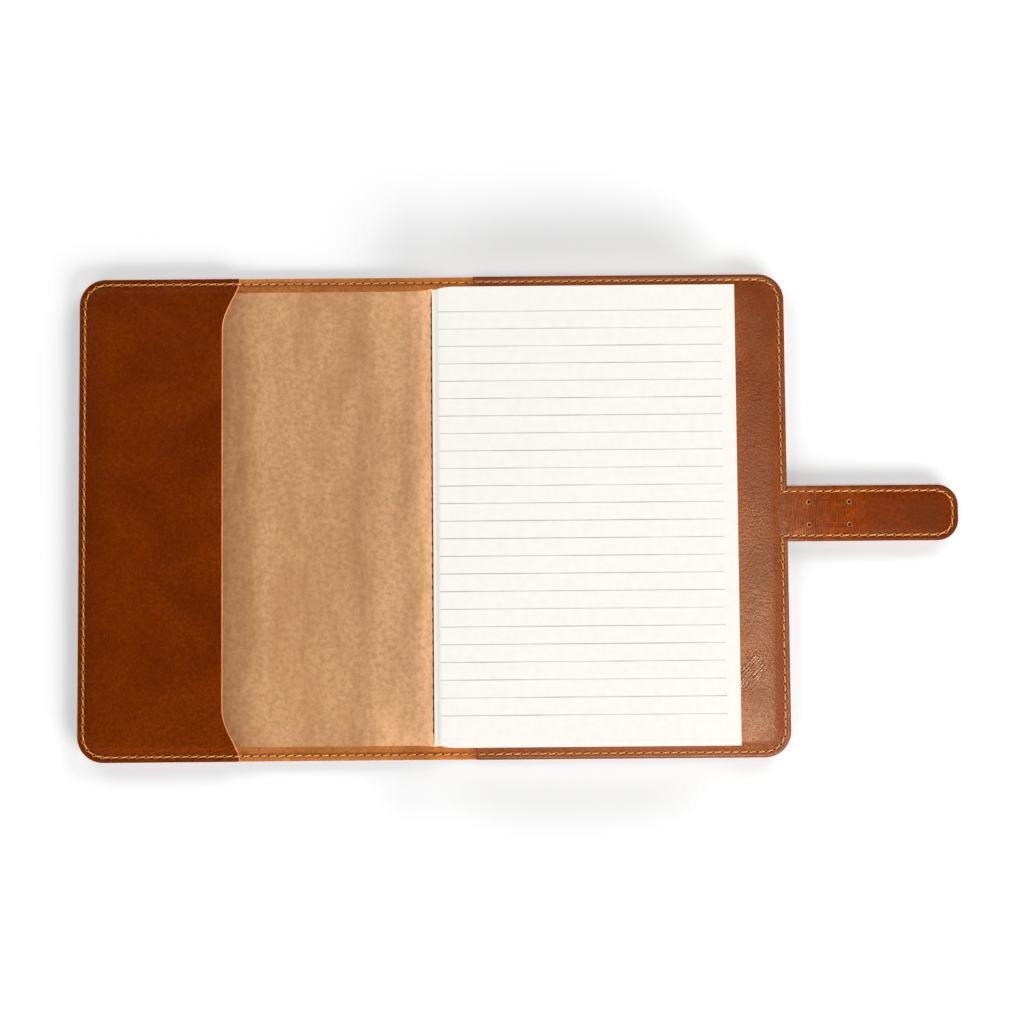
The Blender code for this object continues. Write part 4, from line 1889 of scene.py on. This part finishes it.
@dataclass
class Seams:
    """Every seam of the cover, on its inside and its outside."""

    stitching: Stitching

    def inner_height(self, x: float, y: float) -> float:
        """The height of the face that the needle thread lies on.

        Args:
            x: The place across the cover.
            y: The place from tail to head.

        Returns:
            The height there.
        """
        if x > PLAN.half_width:
            return strap_top(x, y)
        if x >= PLAN.panel_edge:
            return pocket_top(PLAN.back_lid)(x, y)
        if x <= PLAN.flap_x(y):
            return pocket_top(PLAN.front_lid)(x, y)
        return flat_top(x, y)

    def sew(
        self, name: str, path: list[Point], bend: Bend, nodes: tuple[str, ...], closed_end: bool = False
    ) -> None:
        """Sew one run on both faces, and put each run's place into its mesh.

        Args:
            name: The run's name.
            path: The path's points.
            bend: The fold that it crosses.
            nodes: The CAD threads that it replaces, with the kind of thread left open.
            closed_end: Whether a last needle hole closes the run.
        """
        for kind, height, face in (("needle", self.inner_height, 1), ("bobbin", sewn_under, -1)):
            run = self.stitching.run(f"{name}_{kind}_stitches", path, height, face, closed_end)
            bend.apply(run)
            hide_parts(*(node.format(kind) for node in nodes))

    def build(self) -> None:
        """Sew every run."""
        inset = PLAN.seam_inset
        seam_x = PLAN.half_width - inset
        seam_y = PLAN.half_height - inset
        strap_y = PLAN.strap_half - inset
        corner = (PLAN.half_width - PLAN.corner, PLAN.half_height - PLAN.corner)
        radius = PLAN.corner - inset

        head = [(0.0, seam_y)] + corner_arc((-corner[0], corner[1]), radius, -90)
        parts = ("front", "spine_head", "spine_tail")
        nodes = tuple(f"{part}_{{}}_thread" for part in parts)
        self.sew("front_seam", head + mirrored(head)[::-1], FRONT_BEND, nodes)

        back = [(0.0, seam_y)] + corner_arc(corner, radius, 90) + [(seam_x, strap_y)]
        bridge = [(seam_x, strap_y), (BRIDGE_MIDDLE, strap_y)]
        for end, turned in (("head", list), ("tail", mirrored)):
            self.sew(f"back_{end}_seam", turned(back), BACK_BEND, (f"back_{end}_{{}}_thread",))
            node = f"strap_bridge_{end}_{{}}_thread"
            self.sew(f"strap_{end}_seam", turned(bridge), ROOT_BEND, (node,))

        tip = (PLAN.strap_end - PLAN.strap_tip, PLAN.strap_half - PLAN.strap_tip)
        upper = [(BRIDGE_MIDDLE, strap_y)] + corner_arc(tip, PLAN.strap_tip - inset, 90)
        tongue = upper + mirrored(upper)[::-1]
        self.sew("strap_tip_seam", tongue, TONGUE_BEND, ("strap_tongue_{}_thread",), True)


# ---------------------------------------------------------------- booklet


@dataclass
class Booklet:
    """The sewn booklet: its leaves, its kraft wrapper and the binding stitches."""

    finishes: Finishes
    leaves: int = 24
    leaf: float = 0.22 * MM
    card: float = 0.36 * MM
    curve: float = 4.6 * MM
    recede: float = 2.2 * MM
    recede_length: float = 12 * MM
    fold_spread: float = 1.3 * MM
    edge_scatter: float = 0.10
    wrapper_flat: float = 11.2 * MM
    wrapper_wave: float = 0.09 * MM
    stitch_pitch: float = 5.0 * MM
    shuffle: random.Random = field(default_factory=lambda: random.Random(7))

    def leaf_half(self, x: float) -> float:
        """Half of a leaf's height, which draws in a little beside the fold."""
        return PLAN.page_half - self.recede * (1 - smooth(x, -2 * MM, self.recede_length)) ** 2

    def leaf_place(
        self, fold_z: float, flat_z: float, edge: float, lift: float
    ) -> Callable[[float, float], Vector]:
        """Where the points of one leaf are.

        Args:
            fold_z: The leaf's height at the fold.
            flat_z: Its height on the block.
            edge: Where its fore edge is.
            lift: How far it waves.

        Returns:
            The place of a point, from its two stations.
        """

        def place(x: float, along: float) -> Vector:
            """The place of a point on the leaf.

            Args:
                x: Its distance from the fold.
                along: Where it is from tail, -1, to head, 1.

            Returns:
                The place.
            """
            share = min(1.0, max(0.0, x / self.curve))
            bend = 1 - (1 - share) ** 3.0
            y = along * self.leaf_half(x)
            wave = math.sin(y * 38 + 0.9) * 0.5 + math.sin(x * 47 - y * 21) * 0.5
            return Vector((min(x, edge), y, fold_z + (flat_z - fold_z) * bend + lift * wave * bend))

        return place

    def make_leaf(self, name: str, level: float, steps: int, lift: float) -> Piece:
        """Make one leaf of the block.

        Args:
            name: Its name.
            level: Where it lies, from 0 at the bottom to 1 at the top.
            steps: How finely it is divided.
            lift: How far it waves.

        Returns:
            The leaf.
        """
        top = PLAN.page_top - 0.12 * MM
        flat_z = PLAN.block_bottom + (top - PLAN.block_bottom) * level
        fold_z = PLAN.fold_z + (level - 0.5) * self.fold_spread
        edge = PLAN.page_edge - 0.1 * MM - abs(self.shuffle.gauss(0, self.edge_scatter)) * MM
        across = spaced((0.6 * MM, self.curve, 8), (self.curve, 14 * MM, 4), (14 * MM, edge, steps))
        along = spaced((-1.0, 1.0, max(4, steps)))
        sheet = grid_sheet(name, across, along, self.leaf_place(fold_z, flat_z, edge, lift))
        thicken(sheet, self.leaf, 1.0 if level < 0.5 else -1.0)
        soften(sheet, 50)
        return sheet

    def wrapper_line(self, side: int) -> list[Point]:
        """The section of a wrapper leaf, from the fold down and out into its pocket.

        Args:
            side: -1 for the front leaf, 1 for the back leaf.

        Returns:
            The section's points, each a distance from the fold and a height.
        """
        height = 2.60 * MM if side < 0 else 2.10 * MM
        drops = ((0.0, 0.55), (0.25, 0.85), (0.7, 1.45), (2.0, 2.62), (3.4, 3.75), (4.8, 4.72))
        rises = ((6.4, 0.85), (8.4, 0.30), (11.2, 0.0))
        slope = [(out * MM, PLAN.fold_z - drop * MM) for out, drop in drops]
        slope += [(out * MM, height + rise * MM) for out, rise in rises]
        flat = spaced((self.wrapper_flat, PLAN.wrapper_edge, 26))[1:]
        return slope + [(x, height) for x in flat]

    def make_wrapper(self, name: str, side: int) -> Piece:
        """Make one leaf of the kraft wrapper.

        Args:
            name: Its name.
            side: -1 for the front leaf, 1 for the back leaf.

        Returns:
            The leaf.
        """
        line = self.wrapper_line(side)

        def place(station: float, along: float) -> Vector:
            """The place of a point on the wrapper.

            Args:
                station: Which point of the section it is.
                along: Where it is from tail, -1, to head, 1.

            Returns:
                The place.
            """
            x, z = line[round(station)]
            y = along * (PLAN.page_half - 0.2 * MM)
            wave = math.sin(y * 44) * math.sin(x * 60 + 0.7) * self.wrapper_wave if x > 11 * MM else 0.0
            return Vector((side * x, y, z + wave))

        stations = [float(index) for index in range(len(line))]
        sheet = grid_sheet(name, stations, spaced((-1.0, 1.0, 26)), place)
        if side < 0:
            select_parts(sheet, verts=lambda vert: True)
            bpy.ops.mesh.flip_normals()
            object_mode()
        thicken(sheet, self.card, 0.0)
        soften(sheet, 50)
        sheet.data.materials.append(self.finishes["kraft_card"])
        return sheet

    def one_dash(self) -> Piece:
        """Model one binding stitch along Y.

        Returns:
            The stitch, 2 long and 2 wide.
        """
        deselect()
        bpy.ops.mesh.primitive_cylinder_add(
            vertices=8, radius=1, depth=2, rotation=(math.radians(90), 0, 0)
        )
        dash = added("dash")
        bisect(dash, 1, (-0.7, -0.3, 0.3, 0.7))
        for vert in dash.data.vertices:
            share = abs(vert.co.y)
            thin = 1 - 0.55 * share**3
            vert.co.x *= thin
            vert.co.z = vert.co.z * thin - 0.8 * share**2
        soften(dash, 80)
        dash.data.materials.append(self.finishes["linen_thread"])
        return dash

    def binding(self) -> Piece:
        """Make the binding stitches: dark dashes in the fold, with finer dark strands between that also
        stand in for the painted shade of the fold's crack.

        Returns:
            The stitches as one piece.
        """
        dash = self.one_dash()
        pitch = self.stitch_pitch
        count = int(2 * (PLAN.page_half - 4 * MM) / pitch)
        copies = []
        for index in range(count):
            y = (index - (count - 1) / 2) * pitch
            size = (0.27 * MM, pitch * 0.26, 0.30 * MM)
            copies.append(copy_at(dash, (0.0, y, PLAN.fold_z + 0.15 * MM), 0.0, size))
            # The finer dark strands are thread, and also painted shade along the fold's crack.
            size = (0.16 * MM, pitch * 0.30, 0.14 * MM)
            copies.append(copy_at(dash, (0.05 * MM, y + pitch / 2, PLAN.fold_z), 0.0, size))
        bpy.data.objects.remove(dash)
        return join_copies("binding_stitches", copies)

    def build(self) -> None:
        """Make the whole booklet."""
        levels = [index / self.leaves for index in range(self.leaves)]
        sheets = [self.make_leaf(f"leaf_{i:02d}", level, 6, 0.0) for i, level in enumerate(levels)]
        block = join("leaf_block", sheets)
        block.data.materials.append(self.finishes["plain_paper"])
        first = self.make_leaf("open_page", 1.0, 46, 0.10 * MM)
        first.data.materials.append(self.finishes["ruled_paper"])
        back = self.make_wrapper("wrapper_back", 1)
        front = self.make_wrapper("wrapper_front", -1)
        for piece, node, slot in (
            (block, "ruled_leaves", Slot.PAPER),
            (first, "first_ruled_leaf", Slot.PAPER),
            (back, "kraft_back_leaf", Slot.KRAFT),
            (self.binding(), "binding_thread", Slot.BINDING),
        ):
            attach(piece, "booklet")
            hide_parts(node)
        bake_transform(front)
        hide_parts("kraft_front_leaf")


# ---------------------------------------------------------------- hidden pieces


@dataclass
class Magnets:
    """The closure's two magnets and the leather patch over the cover's one."""

    finishes: Finishes
    patch_depth: float = 0.5 * MM
    patch_sink: float = 0.05 * MM
    patch_round: float = 0.15 * MM

    def build(self) -> None:
        """Dress the two discs, and make the patch."""
        for name in ("strap_magnet", "cover_magnet"):
            disc = frame["nodes"][name]
            disc.data.materials.clear()
            disc.data.materials.append(self.finishes["plated_nickel"])
        low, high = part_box("magnet_keeper_patch")
        middle = ((low[0] + high[0]) / 2, 0, PLAN.leather - self.patch_sink)
        deselect()
        bpy.ops.mesh.primitive_cylinder_add(
            vertices=56, radius=(high[0] - low[0]) / 2, depth=self.patch_depth, location=middle
        )
        patch = added("magnet_patch")
        round_edges(patch, self.patch_round)
        patch.data.materials.append(self.finishes["flesh_side"])
        store_edge_distance(patch, lambda x, y: 20 * MM)
        soften(patch)
        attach(patch, "front_cover")
        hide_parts("magnet_keeper_patch")


# ---------------------------------------------------------------- studio


@dataclass(frozen=True)
class Lamp:
    """A soft panel light that faces the cover."""

    name: str
    place: tuple[float, float, float]
    power: float
    width: float = 2.0
    height: float = 0.7

    def build(self) -> None:
        """Hang the light and aim it at the cover's middle."""
        data = bpy.data.lights.new(self.name, "AREA")
        data.shape = "RECTANGLE"
        data.size = self.width
        data.size_y = self.height
        data.energy = self.power
        lamp = bpy.data.objects.new(self.name, data)
        bpy.context.scene.collection.objects.link(lamp)
        lamp.location = self.place
        aim = Vector((0.03, 0, 0)) - Vector(self.place)
        lamp.rotation_euler = aim.to_track_quat("-Z", "Y").to_euler()


@dataclass
class Studio:
    """A pale floor, soft lights and the camera."""

    target: Point = (36.5 * MM, 1.9 * MM)
    distance: float = 700 * MM
    elevation: float = 87.0
    roll: float = -0.5
    lens: float = 53.3
    pale: float = 0.96
    glow: float = 0.09
    lamps: tuple[Lamp, ...] = (
        Lamp("key", (0.52, -0.44, 2.10), 13.4, 0.70, 0.70),
        Lamp("near_right", (1.55, -1.85, 0.45), 118.0),
        Lamp("far_right", (1.55, 1.85, 0.45), 72.0),
        Lamp("near_left", (-1.45, -1.85, 0.45), 40.0),
        Lamp("far_left", (-1.45, 1.85, 0.45), 48.0),
    )

    def floor(self) -> None:
        """Add the pale floor."""
        deselect()
        bpy.ops.mesh.primitive_plane_add(size=6, location=(0, 0, -0.1 * MM))
        floor = added("floor")
        material = bpy.data.materials.new("pale_floor")
        material.use_nodes = True
        shader = material.node_tree.nodes["Principled BSDF"]
        shader.inputs["Base Color"].default_value = (self.pale, self.pale, self.pale, 1)
        shader.inputs["Roughness"].default_value = 0.95
        shader.inputs["Specular IOR Level"].default_value = 0.0
        floor.data.materials.append(material)

    def camera(self) -> None:
        """Add the camera, above the cover and leaning a little towards its tail."""
        data = bpy.data.cameras.new("camera")
        data.lens = self.lens
        data.sensor_width = 36
        data.clip_start = 0.01
        camera = bpy.data.objects.new("camera", data)
        bpy.context.scene.collection.objects.link(camera)
        lean = math.radians(self.elevation)
        away = Vector((0, -math.cos(lean), math.sin(lean)))
        camera.location = Vector((*self.target, PLAN.leather)) + away * self.distance
        camera.rotation_euler = (math.radians(90 - self.elevation), 0, 0)
        camera.rotation_euler.rotate_axis("Z", math.radians(self.roll))
        bpy.context.scene.camera = camera

    def world(self) -> None:
        """Add the faint light that comes from all round."""
        world = bpy.data.worlds.new("studio")
        world.use_nodes = True
        background = world.node_tree.nodes["Background"]
        background.inputs["Color"].default_value = (1, 1, 1, 1)
        background.inputs["Strength"].default_value = self.glow
        bpy.context.scene.world = world
        bpy.context.scene.view_settings.view_transform = "Standard"

    def build(self) -> None:
        """Set up the studio."""
        self.floor()
        for lamp in self.lamps:
            lamp.build()
        self.world()
        self.camera()


def main() -> None:
    """Build every sub-assembly in order and report each one."""
    logging.basicConfig(level=logging.INFO, format="%(name)s: %(message)s")
    finishes = Finishes.of_cover()
    steps = (
        ("outer hide", OuterHide(finishes)),
        ("pockets", Pockets(finishes)),
        ("strap", StrapLayers(finishes)),
        ("seams", Seams(Stitching(finishes))),
        ("booklet", Booklet(finishes)),
        ("magnets", Magnets(finishes)),
        ("studio", Studio()),
    )
    for name, builder in steps:
        builder.build()
        LOG.info("built the %s", name)


if __name__ == "__main__":
    main()
